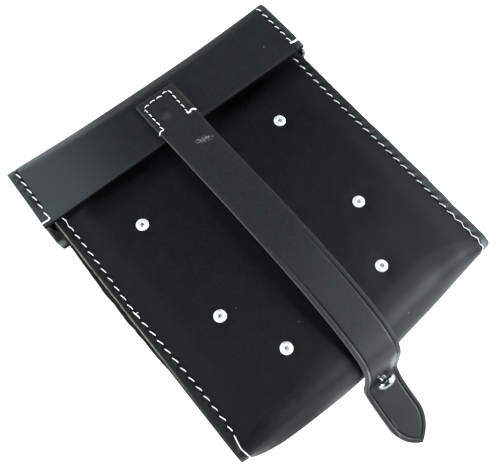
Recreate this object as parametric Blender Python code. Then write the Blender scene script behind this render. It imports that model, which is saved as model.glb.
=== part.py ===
"""A leather tool pouch lying on its back: a boxy body with out-turned side seams, a lid with side ears,
and a strap sewn to the lid that bows over the front and hooks on a stud under the bottom.

The pouch is drawn with x to the right, y towards the lid from the bottom corners, and z up from the
surface that it lies on. The last step moves it so that the origin is the middle of its footprint.
"""

import math

import bmesh
import bpy
import numpy as np
from mathutils import Matrix, Vector

MM = 0.001

# Leather
MAIN_THICK = 2.4 * MM
GUSSET_THICK = 2.0 * MM
EAR_THICK = 2.0 * MM
STRAP_THICK = 2.5 * MM
SEAM_GAP = 0.3 * MM

# Body, over its side seams
BODY_WIDTH = 200 * MM
BODY_DEPTH = 69 * MM
MOUTH_Y = 204 * MM
BACK_TOP_Y = 214 * MM
BACK_ROLL = 12 * MM
# x, radius of the fold from front to bottom
FRONT_ROLL = (
    (-94.6, 6),
    (-84, 10),
    (-62, 13),
    (-17, 16),
    (31, 19),
    (61, 20),
    (83, 14),
    (94.6, 6),
)
PILLOW_RISE = 1.8 * MM
PILLOW_START = 96 * MM
PILLOW_FULL = 78 * MM
PILLOW_FADE = 14 * MM

# x, how far the bottom swells past its corners
BOTTOM_SWELL = (
    (-102.4, 0.3),
    (-94.6, 1.8),
    (-90, 3.8),
    (-84, 5.7),
    (-74, 7.8),
    (-62, 9.0),
    (-48, 10.0),
    (-33, 10.8),
    (-17, 11.4),
    (-1, 11.3),
    (15, 10.2),
    (31, 8.8),
    (47, 7.6),
    (61, 6.5),
    (73, 5.1),
    (83, 4.1),
    (89, 3.4),
    (94.6, 2.7),
    (100, 2.5),
)
SWELL_POWER = 0.6
# x of each column of the body's leather
BODY_COLUMNS = (
    *(-100, -94.6, -92, -88, -82, -74, -62, -48, -33, -17),
    *(-1, 15, 31, 47, 61, 73, 83, 89, 94.6, 100),
)

# Side gussets
GUSSET_BACK_REACH = 99.4 * MM
# y, left and right x of the front flange's edge
GUSSET_REACH = (
    (-10, 99.7, 99.6),
    (45, 99.7, 99.6),
    (60, 100.6, 99.6),
    (75, 101.4, 99.6),
    (95, 102.1, 99.6),
    (115, 102.4, 99.6),
    (133, 102.6, 99.6),
    (155, 101.6, 99.6),
    (180, 101.2, 99.6),
)
GUSSET_WALL_X = 93 * MM
GUSSET_SWELL = 2.5 * MM
GUSSET_BEND = 1.6 * MM

# Lid
FLAP_LIFT = 2.6 * MM
FLAP_EDGE_Y = 179.4 * MM
LID_TOP_Y = 227.5 * MM
LID_END_ROLL = 9 * MM
LID_MIDDLE_ROLL = 14.5 * MM
LID_BACK_ROLL = 12 * MM
# y, left and right x of the lid's edge
LID_REACH = (
    (179.4, 106.4, 103.8),
    (195, 105.6, 104.4),
    (227.5, 104.7, 104.1),
)
TAB_REACH = 86 * MM
TAB_END_Y = 190 * MM
LID_COLUMNS = 13

# Lid ears
EAR_MARGIN = 0.2 * MM
EAR_BEND = 0.5 * MM
EAR_ROWS = 15
EAR_FREE_DEPTH = 38 * MM
EAR_FREE_TOP_Y = 210 * MM
EAR_HEM_HEIGHT = 5 * MM
EAR_HEM_THICK = 4.2 * MM
EAR_HEM_START = 0.2
# share of the ear's depth, left and right x of its wall
EAR_WALL = (
    (0.04, 104.6, 102.8),
    (0.12, 106.0, 104.9),
    (0.24, 106.5, 105.9),
    (0.45, 106.5, 106.7),
    (0.72, 106.2, 106.3),
    (1.0, 105.4, 105.2),
)

# Strap
STRAP_CROWN = 0.25 * MM
TONGUE_LENGTH = 24 * MM
TONGUE_HALF = 13.3 * MM
TIP_HALF = 0.5 * MM
STRAP_HOLE_REACH = 13 * MM
STRAP_EDGES = (-1, -0.86, 0, 0.86, 1)
TONGUE_ROWS = 8
BEND_LENGTH = 112 * MM
BEND_ROWS = 30
STRAP_ROWS = 18
CURVE_STEPS = 12
# y, height of the outer face over the front, x of the left and right edges
STRAP_SECTIONS = (
    (-67.3, -65.2, -14.1, 12.5),
    (-58, -60, -14.1, 12.5),
    (-48, -55, -14.1, 12.5),
    (-37, -50.5, -14.1, 12.5),
    (-27.5, -45.5, -14.1, 12.5),
    (-21.5, -40.5, -14.3, 12.8),
    (-19.2, -36, -14.3, 12.8),
    (-18.0, -31, -14.3, 12.8),
    (-16.3, -23, -14.3, 12.8),
    (-13.6, -12.5, -14.5, 13.0),
    (-9.5, -4.5, -14.5, 13.0),
    (-3, 2, -14.5, 13.0),
    (8, 7.5, -14.7, 13.1),
    (25, 12, -14.7, 13.1),
    (50, 15, -14.7, 13.1),
    (80, 16, -14.7, 13.1),
    (110, 15, -14.7, 13.1),
    (140, 13, -14.7, 13.1),
    (165, 11, -14.6, 13.3),
    (183, 9.2, -14.6, 14.5),
    (197, 8.1, -14.7, 15.0),
    (210.6, 8.1, -14.8, 14.2),
)

# Stud and rivets
STUD_X = -1.0 * MM
STUD_DEPTH = 31.5 * MM
# radius, distance past the body's bottom
STUD_OUTLINE = (
    (4.4, -4.0),
    (4.4, -3.0),
    (1.8, -3.0),
    (1.8, 0.7),
    (6.0, 0.7),
    (6.0, 1.7),
    (2.4, 1.7),
    (2.4, 9.4),
    (6.5, 9.4),
    (6.5, 10.5),
    (5.7, 11.8),
    (4.0, 12.8),
    (2.0, 13.3),
)
STUD_HOLE = 2.1 * MM
STRAP_HOLE = 2.9 * MM
# x, y of each rivet in the front
RIVETS = (
    (-59.5, 144.7),
    (53.8, 146.5),
    (-58.7, 70.0),
    (54.5, 71.3),
    (-41.1, 30.9),
    (36.2, 31.7),
)
# radius, height over the leather
RIVET_OUTLINE = (
    (3.6, -3.7),
    (3.6, -2.7),
    (1.5, -2.7),
    (1.5, 0.3),
    (4.1, 0.3),
    (4.1, 0.8),
    (3.6, 1.4),
    (2.3, 1.8),
    (1.0, 1.7),
)
RIVET_DIMPLE = 1.0 * MM
RIVET_HOLE = 1.8 * MM
ROUND_STEPS = 20

FRONT_Z = BODY_DEPTH
SIDES = {"left": -1, "right": 1}


def smoothstep(low, high, value):
    share = min(max((value - low) / (high - low), 0), 1)
    return share * share * (3 - 2 * share)


def read_table(table, key, column=1):
    """The value in millimetre tables at a key in metres, in metres."""
    rows = np.array(table) * MM
    return float(np.interp(key, rows[:, 0], rows[:, column]))


def rounded_path(corners, radii, run_steps, arc_steps):
    """Points in (y, z) along straight runs joined by arcs."""
    corners = [Vector(corner) for corner in corners]
    points = []
    start = corners[0]
    for number, radius in enumerate(radii):
        corner = corners[number + 1]
        before = (corner - corners[number]).normalized()
        after = (corners[number + 2] - corner).normalized()
        trim = radius * math.tan(before.angle(after) / 2)
        arc_start = corner - before * trim
        arc_end = corner + after * trim
        centre = corner + (after - before).normalized() * radius / math.cos(before.angle(after) / 2)
        points += [start.lerp(arc_start, k / run_steps[number]) for k in range(run_steps[number])]
        spoke = arc_start - centre
        turn = spoke.angle_signed(arc_end - centre)
        for k in range(arc_steps[number]):
            angle = -turn * k / arc_steps[number]
            points.append(centre + Matrix.Rotation(angle, 2) @ spoke)
        start = arc_end
    points += [start.lerp(corners[-1], k / run_steps[-1]) for k in range(run_steps[-1] + 1)]
    return points


def new_material(name, colour, roughness, metallic=0.0):
    material = bpy.data.materials.new(name)
    material.use_nodes = True
    shader = material.node_tree.nodes["Principled BSDF"]
    shader.inputs["Base Color"].default_value = (*colour, 1)
    shader.inputs["Roughness"].default_value = roughness
    shader.inputs["Metallic"].default_value = metallic
    material.diffuse_color = (*colour, 1)
    return material


def new_object(name, bm, material, smooth_angle=40):
    mesh = bpy.data.meshes.new(name)
    bm.to_mesh(mesh)
    bm.free()
    mesh.shade_smooth()
    mesh.set_sharp_from_angle(angle=math.radians(smooth_angle))
    obj = bpy.data.objects.new(name, mesh)
    bpy.context.scene.collection.objects.link(obj)
    if material:
        mesh.materials.append(material)
    return obj


def grid_mesh(rows, columns, place):
    """A grid whose corner in row i and column j is moved to place(i, j)."""
    bm = bmesh.new()
    bmesh.ops.create_grid(bm, x_segments=columns - 1, y_segments=rows - 1, size=1)
    cells = {}
    for vertex in bm.verts:
        row = round((vertex.co.y + 1) / 2 * (rows - 1))
        column = round((vertex.co.x + 1) / 2 * (columns - 1))
        vertex.co = place(row, column)
        cells[vertex] = (row, column)
    return bm, cells


def thicken(obj, thickness):
    solidify = obj.modifiers.new("leather thickness", "SOLIDIFY")
    solidify.thickness = thickness
    solidify.offset = -1
    solidify.use_even_offset = True
    return solidify


def cylinder_cutter(name, radius, start, end):
    """A hidden cylinder between two points, for a hole."""
    axis = end - start
    bm = bmesh.new()
    bmesh.ops.create_cone(
        bm, cap_ends=True, segments=ROUND_STEPS, radius1=radius, radius2=radius, depth=axis.length
    )
    turn = Vector((0, 0, 1)).rotation_difference(axis).to_matrix().to_4x4()
    bmesh.ops.transform(bm, verts=bm.verts, matrix=Matrix.Translation((start + end) / 2) @ turn)
    cutter = new_object(name, bm, None)
    cutter.hide_render = True
    cutter.display_type = "WIRE"
    return cutter


def cut(obj, cutter):
    boolean = obj.modifiers.new(cutter.name, "BOOLEAN")
    boolean.operation = "DIFFERENCE"
    boolean.solver = "EXACT"
    boolean.object = cutter


def turned_piece(name, outline, dimple, place, material):
    """A round piece from (radius, height) rows, turned about its axis and closed at both ends."""
    bm = bmesh.new()
    profile = [Vector((0, 0, outline[0][1] * MM))]
    profile += [Vector((radius * MM, 0, height * MM)) for radius, height in outline]
    profile.append(Vector((0, 0, outline[-1][1] * MM - dimple)))
    line = [bm.verts.new(point) for point in profile]
    edges = [bm.edges.new(pair) for pair in zip(line, line[1:])]
    bmesh.ops.spin(
        bm,
        geom=line + edges,
        cent=(0, 0, 0),
        axis=(0, 0, 1),
        angle=math.tau,
        steps=ROUND_STEPS,
        use_merge=True,
    )
    bmesh.ops.remove_doubles(bm, verts=bm.verts, dist=0.01 * MM)
    bmesh.ops.recalc_face_normals(bm, faces=bm.faces)
    bmesh.ops.transform(bm, verts=bm.verts, matrix=place)
    return new_object(name, bm, material)


def pillow(x, z):
    """How far the stuffed front stands over its seams."""
    across = smoothstep(PILLOW_START, PILLOW_FULL, abs(x))
    return PILLOW_RISE * across * smoothstep(FRONT_Z - PILLOW_FADE, FRONT_Z, z)


def body_path(x, inset=0.0, back_top=BACK_TOP_Y):
    """The body's side outline at x, from the back's top edge round the bottom to the mouth."""
    corners = (
        (back_top, inset),
        (inset, inset),
        (inset, BODY_DEPTH - inset),
        (MOUTH_Y, BODY_DEPTH - inset),
    )
    radii = (BACK_ROLL - inset, read_table(FRONT_ROLL, x) - inset)
    return rounded_path(corners, radii, (5, 4, 9), (4, 7))


def bottom_swell(x, z):
    """How far the bottom stands past its corners, where the outer face is z above the ground."""
    depth = max(math.sin(math.pi * z / BODY_DEPTH), 0)
    return read_table(BOTTOM_SWELL, x) * depth**SWELL_POWER


def body_wrap(material):
    paths = [body_path(x * MM) for x in BODY_COLUMNS]

    def place(row, column):
        x = BODY_COLUMNS[column] * MM
        y, z = paths[column][row]
        return Vector((x, y - bottom_swell(x, z), z + pillow(x, z)))

    bm, _ = grid_mesh(len(paths[0]), len(BODY_COLUMNS), place)
    wrap = new_object("body_wrap", bm, material)
    thicken(wrap, MAIN_THICK)
    return wrap


def side_gusset(side, material):
    """A side wall whose three sewn edges turn out into a flange under the main leather."""
    sign = SIDES[side]
    reach_column = 1 + list(SIDES).index(side)
    outer = body_path(sign * BODY_WIDTH / 2, 0, MOUTH_Y)
    edge = body_path(sign * BODY_WIDTH / 2, MAIN_THICK + SEAM_GAP + GUSSET_THICK, MOUTH_Y)
    middle_z = BODY_DEPTH / 2
    centre = [Vector((max(point.x, middle_z), middle_z)) for point in edge]
    rings = (
        (GUSSET_BACK_REACH, 0.0),
        (GUSSET_WALL_X + GUSSET_BEND, 0.0),
        (GUSSET_WALL_X + GUSSET_BEND * 0.3, 0.02),
        (GUSSET_WALL_X, 0.06),
        (GUSSET_WALL_X + GUSSET_SWELL * 0.6, 0.35),
        (GUSSET_WALL_X + GUSSET_SWELL, 0.75),
    )

    def place(row, column):
        x, inward = rings[column]
        y, z = edge[row].lerp(centre[row], inward)
        if column == 0:
            x = read_table(GUSSET_REACH, y, reach_column) if z > middle_z else GUSSET_BACK_REACH
        swell = bottom_swell(sign * x, outer[row].y) * (1 - inward)
        return Vector((sign * x, y - swell, z))

    bm, cells = grid_mesh(len(edge), len(rings), place)
    inner = [vertex for vertex, (_, column) in cells.items() if column == len(rings) - 1]
    bm.faces.new(sorted(inner, key=lambda vertex: -cells[vertex][0]))
    if sign < 0:
        bmesh.ops.reverse_faces(bm, faces=bm.faces)
    gusset = new_object(f"side_gusset_{side}", bm, material)
    thicken(gusset, GUSSET_THICK)
    return gusset


def lid_path(inset=0.0, front_roll=LID_END_ROLL):
    """The lid's side outline, from the flap's lower edge over the top to the tab inside the back."""
    front_z = FRONT_Z + FLAP_LIFT + MAIN_THICK - inset
    tab_z = MAIN_THICK + SEAM_GAP + inset
    corners = (
        (FLAP_EDGE_Y, front_z),
        (LID_TOP_Y - inset, front_z),
        (LID_TOP_Y - inset, tab_z),
        (TAB_END_Y, tab_z),
    )
    radii = (front_roll - inset, LID_BACK_ROLL - inset)
    return rounded_path(corners, radii, (5, 4, 2), (5, 5))


def lid(material):
    """The lid, whose top fold is softer between its two ends."""
    middles = [1 - (2 * column / (LID_COLUMNS - 1) - 1) ** 2 for column in range(LID_COLUMNS)]
    paths = [lid_path(0, LID_END_ROLL + (LID_MIDDLE_ROLL - LID_END_ROLL) * middle) for middle in middles]
    narrow_z = MAIN_THICK + SEAM_GAP + LID_BACK_ROLL

    def place(row, column):
        share = column / (LID_COLUMNS - 1)
        y, z = paths[column][row]
        full = smoothstep(MAIN_THICK, narrow_z, z)
        left = -TAB_REACH + (TAB_REACH - read_table(LID_REACH, y, 1)) * full
        right = TAB_REACH + (read_table(LID_REACH, y, 2) - TAB_REACH) * full
        return Vector((left + (right - left) * share, y, z))

    bm, _ = grid_mesh(len(paths[0]), LID_COLUMNS, place)
    cover = new_object("lid", bm, material)
    thicken(cover, MAIN_THICK)
    return cover


def lid_ear(side, material):
    """A side piece of the lid: a flange under the lid's edge, a wall that bulges, and a turned-in hem."""
    sign = SIDES[side]
    edge = lid_path(MAIN_THICK + SEAM_GAP + EAR_THICK)[:EAR_ROWS]
    hem_rows = [edge[0] + Vector((EAR_HEM_HEIGHT, 0)), edge[0] + Vector((EAR_HEM_HEIGHT + MM, 0))]
    edge[1:1] = hem_rows
    free_start = edge[0] - Vector((0, EAR_FREE_DEPTH))
    free_end = Vector((EAR_FREE_TOP_Y, edge[-1].y))
    side_column = 1 + list(SIDES).index(side)
    wall_start = EAR_WALL[0][side_column] * MM
    flap_reach = read_table(LID_REACH, FLAP_EDGE_Y, side_column)
    rings = [(flap_reach - EAR_MARGIN, 0.0), (wall_start + EAR_BEND, 0.0)]
    rings += [(row[side_column] * MM, row[0]) for row in EAR_WALL]

    def place(row, column):
        x, inward = rings[column]
        free = free_start.lerp(free_end, row / (len(edge) - 1))
        y, z = edge[row].lerp(free, inward)
        lean = read_table(LID_REACH, y, side_column) - flap_reach
        return Vector((sign * (x + lean), y, z))

    bm, cells = grid_mesh(len(edge), len(rings), place)
    if sign < 0:
        bmesh.ops.reverse_faces(bm, faces=bm.faces)
    hem = [
        vertex.index
        for vertex, (row, column) in cells.items()
        if row <= 1 and rings[column][1] >= EAR_HEM_START
    ]
    count = len(bm.verts)
    ear = new_object(f"lid_ear_{side}", bm, material)
    thickness = ear.vertex_groups.new(name="thickness")
    thickness.add(range(count), EAR_THICK / EAR_HEM_THICK, "REPLACE")
    thickness.add(hem, 1, "REPLACE")
    thicken(ear, EAR_HEM_THICK).vertex_group = "thickness"
    return ear


def strap_line():
    """Points (y, z, left x, right x) along the outer face from the tip, and their distance from the tip."""
    knots = np.array(STRAP_SECTIONS) * MM + (0, FRONT_Z, 0, 0)
    knots = np.vstack([2 * knots[0] - knots[1], knots, 2 * knots[-1] - knots[-2]])
    points = []
    for before, start, end, after in zip(knots, knots[1:], knots[2:], knots[3:]):
        for t in np.arange(CURVE_STEPS) / CURVE_STEPS:
            bend = (2 * before - 5 * start + 4 * end - after) * t**2
            twist = (3 * start - before - 3 * end + after) * t**3
            points.append((2 * start + (end - before) * t + bend + twist) / 2)
    points = np.array([*points, knots[-2]])
    lengths = np.hypot(*np.diff(points[:, :2], axis=0).T)
    return points, np.concatenate([[0], np.cumsum(lengths)])


def tongue_share(distance):
    """The share of the full width at a distance from the tip: a pointed arch, then straight edges."""
    if distance >= TONGUE_LENGTH:
        return 1
    radius = (TONGUE_LENGTH**2 + TONGUE_HALF**2) / (2 * TONGUE_HALF)
    arch = math.sqrt(radius**2 - (TONGUE_LENGTH - distance) ** 2) - radius + TONGUE_HALF
    return max(arch, TIP_HALF) / TONGUE_HALF


def strap(material):
    points, lengths = strap_line()
    stops = [TONGUE_LENGTH * share**1.6 for share in np.linspace(0, 1, TONGUE_ROWS)]
    stops += list(np.linspace(TONGUE_LENGTH, BEND_LENGTH, BEND_ROWS))[1:]
    stops += list(np.linspace(BEND_LENGTH, lengths[-1], STRAP_ROWS))[1:]

    def place(row, column):
        y, z, left, right = (float(np.interp(stops[row], lengths, values)) for values in points.T)
        half = (right - left) / 2 * tongue_share(stops[row])
        share = STRAP_EDGES[column]
        drop = STRAP_CROWN if abs(share) == 1 else 0
        return Vector(((left + right) / 2 + share * half, y, z - drop))

    bm, _ = grid_mesh(len(stops), len(STRAP_EDGES), place)
    band = new_object("strap", bm, material)
    thicken(band, STRAP_THICK)
    return band


def front_rivets(material):
    """The rivets in the front, with the hole that each shank needs."""
    holes = []
    reach = Vector((0, 0, 2 * MAIN_THICK))
    for number, (x, y) in enumerate(RIVETS, 1):
        spot = Vector((x * MM, y * MM, FRONT_Z + PILLOW_RISE))
        turned_piece(
            f"front_rivet_{number}", RIVET_OUTLINE, RIVET_DIMPLE, Matrix.Translation(spot), material
        )
        holes.append(cylinder_cutter(f"rivet_hole_{number}", RIVET_HOLE, spot - reach, spot + reach))
    return holes


def closing_stud(material):
    """The stud under the bottom, with the holes that it needs in the body and in the strap."""
    z = FRONT_Z - STUD_DEPTH
    spot = Vector((STUD_X, -bottom_swell(STUD_X, z), z))
    turned_piece(
        "closing_stud",
        STUD_OUTLINE,
        0,
        Matrix.Translation(spot) @ Matrix.Rotation(math.radians(90), 4, "X"),
        material,
    )
    out = Vector((0, -1, 0))
    body_hole = cylinder_cutter("stud_hole", STUD_HOLE, spot - out * 2 * MAIN_THICK, spot + out * MAIN_THICK)
    strap_hole = cylinder_cutter(
        "strap_hole", STRAP_HOLE, spot + out * MAIN_THICK, spot + out * STRAP_HOLE_REACH
    )
    return body_hole, strap_hole


def centre_on_footprint():
    """Moves every piece so that the origin is the middle of the footprint, on the ground."""
    bpy.context.view_layer.update()
    graph = bpy.context.evaluated_depsgraph_get()
    corners = []
    for obj in bpy.data.objects:
        if not obj.hide_render:
            shaped = obj.evaluated_get(graph)
            corners += [shaped.matrix_world @ Vector(corner) for corner in shaped.bound_box]
    low = Vector(min(corner[axis] for corner in corners) for axis in range(3))
    high = Vector(max(corner[axis] for corner in corners) for axis in range(3))
    shift = Vector(((low.x + high.x) / 2, (low.y + high.y) / 2, low.z))
    for obj in bpy.data.objects:
        obj.location -= shift


def main():
    for obj in list(bpy.data.objects):
        bpy.data.objects.remove(obj, do_unlink=True)
    body_leather = new_material("body_leather", (0.020, 0.022, 0.023), 0.50)
    gusset_leather = new_material("gusset_leather", (0.017, 0.018, 0.018), 0.60)
    lid_leather = new_material("lid_leather", (0.036, 0.040, 0.043), 0.48)
    strap_leather = new_material("strap_leather", (0.040, 0.042, 0.042), 0.45)
    plated = new_material("plated_metal", (0.86, 0.87, 0.85), 0.22, 1.0)

    wrap = body_wrap(body_leather)
    lid(lid_leather)
    for side in SIDES:
        side_gusset(side, gusset_leather)
        lid_ear(side, gusset_leather)
    band = strap(strap_leather)
    body_hole, strap_hole = closing_stud(plated)
    cut(wrap, body_hole)
    cut(band, strap_hole)
    for hole in front_rivets(plated):
        cut(wrap, hole)
    centre_on_footprint()


main()
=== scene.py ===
"""The finished look of a leather tool pouch that lies on its back, dressed round its solid parts.

Each leather is drawn as one smooth surface, a function of how far across it and which row along it,
and the same function places its mesh, its stitches and what is sewn to it. Sizes are in metres:
x to the right, y towards the lid from the bottom corners, z up from the surface that it lies on.
"""

import math
import random

import bmesh
import bpy
import numpy as np
from mathutils import Matrix, Vector, noise


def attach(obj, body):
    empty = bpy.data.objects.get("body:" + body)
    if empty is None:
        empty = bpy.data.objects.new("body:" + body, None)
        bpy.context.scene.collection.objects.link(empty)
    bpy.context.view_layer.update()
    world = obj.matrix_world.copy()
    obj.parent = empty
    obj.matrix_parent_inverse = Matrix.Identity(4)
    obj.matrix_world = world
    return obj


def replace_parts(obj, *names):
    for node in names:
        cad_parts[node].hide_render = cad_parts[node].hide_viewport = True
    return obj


bl_info = {
    "name": "Leather tool pouch",
    "version": (1, 0, 0),
    "blender": (4, 5, 0),
    "location": "View3D > Sidebar > Pouch",
    "description": "Builds the leathers, seams and hardware of a tool pouch",
    "category": "Object",
}

MM = 0.001
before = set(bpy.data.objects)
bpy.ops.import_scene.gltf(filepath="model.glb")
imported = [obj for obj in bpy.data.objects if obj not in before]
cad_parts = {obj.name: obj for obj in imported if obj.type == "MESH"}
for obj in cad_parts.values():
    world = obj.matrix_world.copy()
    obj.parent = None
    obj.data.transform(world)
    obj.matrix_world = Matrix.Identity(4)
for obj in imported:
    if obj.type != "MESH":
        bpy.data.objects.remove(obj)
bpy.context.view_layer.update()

# The frame's origin is the middle of the footprint, and the tables below start at the bottom corners
FOOTPRINT_MIDDLE = Vector((0.393, 80.1, 0)) * MM

MAIN_THICK = 2.4 * MM
SEAM_GAP = 0.3 * MM

# Body
BODY_WIDTH = 200 * MM
BODY_DEPTH = 69 * MM
MOUTH_Y = 204 * MM
BACK_TOP_Y = 214 * MM
BACK_ROLL = 12 * MM
# x, radius of the fold from front to bottom
FRONT_ROLL = ((-94.6, 6), (-84, 10), (-62, 13), (-17, 16), (31, 19), (61, 20), (83, 14), (94.6, 6))
PILLOW_RISE = 1.8 * MM
PILLOW_START = 96 * MM
PILLOW_FULL = 78 * MM
PILLOW_FADE = 14 * MM
# x, how far the bottom swells past its corners
BOTTOM_SWELL = (
    (-102.4, 0.3), (-94.6, 1.8), (-90, 3.8), (-84, 5.7), (-74, 7.8), (-62, 9.0), (-48, 10.0),
    (-33, 10.8), (-17, 11.4), (-1, 11.3), (15, 10.2), (31, 8.8), (47, 7.6), (61, 6.5), (73, 5.1),
    (83, 4.1), (89, 3.4), (94.6, 2.7), (100, 2.5),
)
SWELL_POWER = 0.6
# y, how far the right edge of the front is stretched outwards
RIGHT_FLARE = (
    (-3, 2.6), (0, 1.6), (3, 0.9), (23, 0.85), (30, 0.55), (34, 0.55), (40, 1.0), (50, 0.85), (56, 1.3),
    (62, 1.1), (75, 0.85), (90, 1.0), (100, 0.8), (108, 0.45), (125, 0.4), (135, 0.2), (180, 0.3),
)
# steps of the body's five stretches: back, fold, bottom, fold, front
BODY_RUNS = (92, 30, 186)
BODY_ARCS = (8, 16)
# the front's first row, in the middle of its fold
FRONT_ROW = BODY_RUNS[0] + BODY_ARCS[0] + BODY_RUNS[1] + BODY_ARCS[1] // 2
# size, seed and height of each random unevenness of the front
BODY_UNEVEN = ((46, 3.7, 0.14), (17, 8.1, 0.06))

# Side gussets
GUSSET_BACK_REACH = 99.4 * MM
# y, left and right x of the front flange's edge
GUSSET_REACH = (
    (-10, 99.7, 100.2), (45, 99.7, 100.3), (60, 100.6, 100.6), (75, 101.4, 100.3), (95, 102.1, 100.3),
    (115, 102.4, 99.8), (133, 102.6, 99.6), (155, 101.6, 99.6), (180, 101.2, 99.6),
)
GUSSET_WALL_X = 93 * MM
GUSSET_SWELL = 2.5 * MM
GUSSET_BEND = 1.6 * MM
FLANGE_RINGS = 3

# Lid
FLAP_LIFT = 2.6 * MM
FLAP_EDGE_Y = 179.4 * MM
LID_TOP_Y = 227.5 * MM
# radius of the top fold at the left and the right end
LID_END_ROLL = {"left": 9 * MM, "right": 7 * MM}
LID_MIDDLE_ROLL = 14.5 * MM
LID_BACK_ROLL = 12 * MM
# y, left and right x of the lid's edge
LID_REACH = ((179.4, 106.7, 103.9), (195, 106.0, 104.4), (227.5, 105.0, 104.1))
TAB_REACH = 86 * MM
TAB_END_Y = 190 * MM
TAB_Z = 2.7 * MM
# z over which the lid narrows to the tab
NARROW_Z = 14.7 * MM
LID_RUNS = (46, 50, 14)
LID_ARCS = (16, 10)

# Lid ears
EAR_MARGIN = 0.2 * MM
EAR_FREE_DEPTH = 38 * MM
EAR_FREE_TOP_Y = 210 * MM
# share of the ear's depth, left and right x of its wall
EAR_WALL = (
    (0.04, 104.6, 103.1), (0.12, 106.0, 105.7), (0.24, 106.5, 106.5), (0.45, 106.5, 106.7),
    (0.72, 106.2, 106.3), (1.0, 105.4, 105.2),
)
# how far the wall's front corner stands out under the flap's corner
EAR_CORNER = {"left": 0.0, "right": 1.6 * MM}
EAR_BEND = 0.5 * MM
# how much wider than its leather the turned-in hem is folded
HEM_SLACK = 0.15 * MM
# how far the front edge turns in: over its top, and from there more and more further down
TURN_TOP_Z = 62 * MM
TURN_LEAST = 2.6 * MM
TURN_START = 3.0 * MM
TURN_SLOPE = 0.27
TURN_FROM_Z = 66 * MM
TURN_MOST = 9.8 * MM
# size and height of the lumps in the side leathers
EAR_LUMP = (16 * MM, 0.5 * MM)
GUSSET_LUMP = (21 * MM, 0.7 * MM)
FLANGE_WAVE = (6 * MM, 0.25 * MM)

# Strap
TONGUE_LENGTH = 24 * MM
TONGUE_HALF = 13.3 * MM
TIP_HALF = 0.5 * MM
# y, height of the outer face over the front, x of the left and right edges
STRAP_SECTIONS = (
    (-67.3, -65.2, -14.1, 12.5), (-58, -60, -14.1, 12.5), (-48, -55, -14.1, 12.5),
    (-37, -50.5, -14.1, 12.5), (-27.5, -45.5, -14.1, 12.5), (-21.5, -40.5, -14.3, 12.8),
    (-19.2, -36, -14.3, 12.8), (-18.0, -31, -14.3, 12.8), (-16.3, -23, -14.3, 12.8),
    (-13.6, -12.5, -14.5, 13.0), (-9.5, -4.5, -14.5, 13.0), (-3, 2, -14.5, 13.0), (8, 7.5, -14.7, 13.1),
    (25, 12, -14.7, 13.1), (50, 15, -14.7, 13.1), (80, 16, -14.7, 13.1), (110, 15, -14.7, 13.1),
    (140, 13, -14.7, 13.1), (165, 11, -14.6, 13.3), (183, 9.2, -14.6, 14.5), (197, 8.1, -14.7, 15.0),
    (210.6, 8.1, -14.8, 14.2),
)
CURVE_STEPS = 12
# how far the pressed line is from the strap's edges
CREASE_INSET = 3.0 * MM
CREASE_DEPTH = 0.35 * MM
CREASE_WIDTH = 0.5 * MM
STRAP_SEAM_DEPTH = 0.16 * MM
STRAP_SEAM_WIDTH = 1.1 * MM
# how far from the bottom the strap's hole is cut
STRAP_HOLE_START = 2.6 * MM
STRAP_HOLE_END = 26 * MM

# Stud and rivets
STUD_X = -1.0 * MM
STUD_DEPTH = 31.5 * MM
STUD_HOLE = 2.1 * MM
STRAP_HOLE = 2.9 * MM
RIVET_HOLE = 1.8 * MM
# x, y of each rivet in the front
RIVETS = ((-59.5, 144.7), (53.8, 146.5), (-58.7, 70.0), (54.5, 71.3), (-41.1, 30.9), (36.2, 31.7))
# how far the leather is drawn down round each rivet, and the distances over which that fades
DISH_DEPTH = 0.3 * MM
DISH_START = 3 * MM
DISH_END = 11 * MM
# radius and height over the leather, from the inner washer to the middle of the head
RIVET_OUTLINE = (
    (3.9, -3.5), (3.9, -2.5), (1.5, -2.45), (1.5, 0.0), (3.6, 0.0), (3.88, 0.12), (3.97, 0.4),
    (3.87, 0.75), (3.55, 1.1), (3.05, 1.4), (2.5, 1.55), (1.95, 1.6), (1.55, 1.5), (1.3, 1.2),
    (1.22, 0.8), (1.2, -2.6), (0, -2.7),
)
STUD_OUTLINE = (
    (4.4, -3.7), (4.4, -2.6), (1.8, -2.5), (1.8, 0.3), (5.7, 0.35), (6.0, 0.6), (6.0, 1.25), (5.6, 1.6),
    (4.2, 1.8), (2.9, 2.0), (2.45, 2.5), (2.35, 3.4), (2.35, 8.4), (2.6, 9.0), (3.4, 9.35), (5.9, 9.45),
    (6.35, 9.75), (6.5, 10.3), (6.4, 11.1), (5.95, 12.1), (5.15, 13.0), (4.0, 13.7), (2.7, 14.15),
    (1.3, 14.36), (0, 14.4),
)

# Seams
SEAM_X = 94.2 * MM
# y, how far the front's left and right seams are from the middle
BODY_SEAM_LINE = (
    (-10, 95.3, 95.2), (8, 95.3, 95.2), (22, 93.9, 95.1), (45, 93.9, 95.0), (67, 94.5, 94.9),
    (88, 95.2, 94.9), (105, 96.0, 94.5), (130, 95.1, 94.0), (145, 94.7, 93.7), (165, 94.5, 94.0),
    (182, 94.4, 94.5),
)
# y of the front's first stitch, and from one to the next
BODY_SEAM_TOP = {"left": 178.4 * MM, "right": 176.0 * MM}
BODY_PITCH = 7.0 * MM
BODY_SEAM_END = 5 * MM
BACK_GROOVE = 0.8 * MM
LID_SEAM_SHARE = {"left": 0.0245, "right": 0.9748}
LID_PITCH = 7 * MM
LID_SEAM_END = 3 * MM
# y of each stitch on the flap, before the seam goes over the top
LID_SEAM = {
    "left": (185.9, 192.9, 199.4, 205.5, 211.8, 218.2, 225),
    "right": (189.7, 196.4, 202.4, 208.7, 215.2, 221.6),
}
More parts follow.
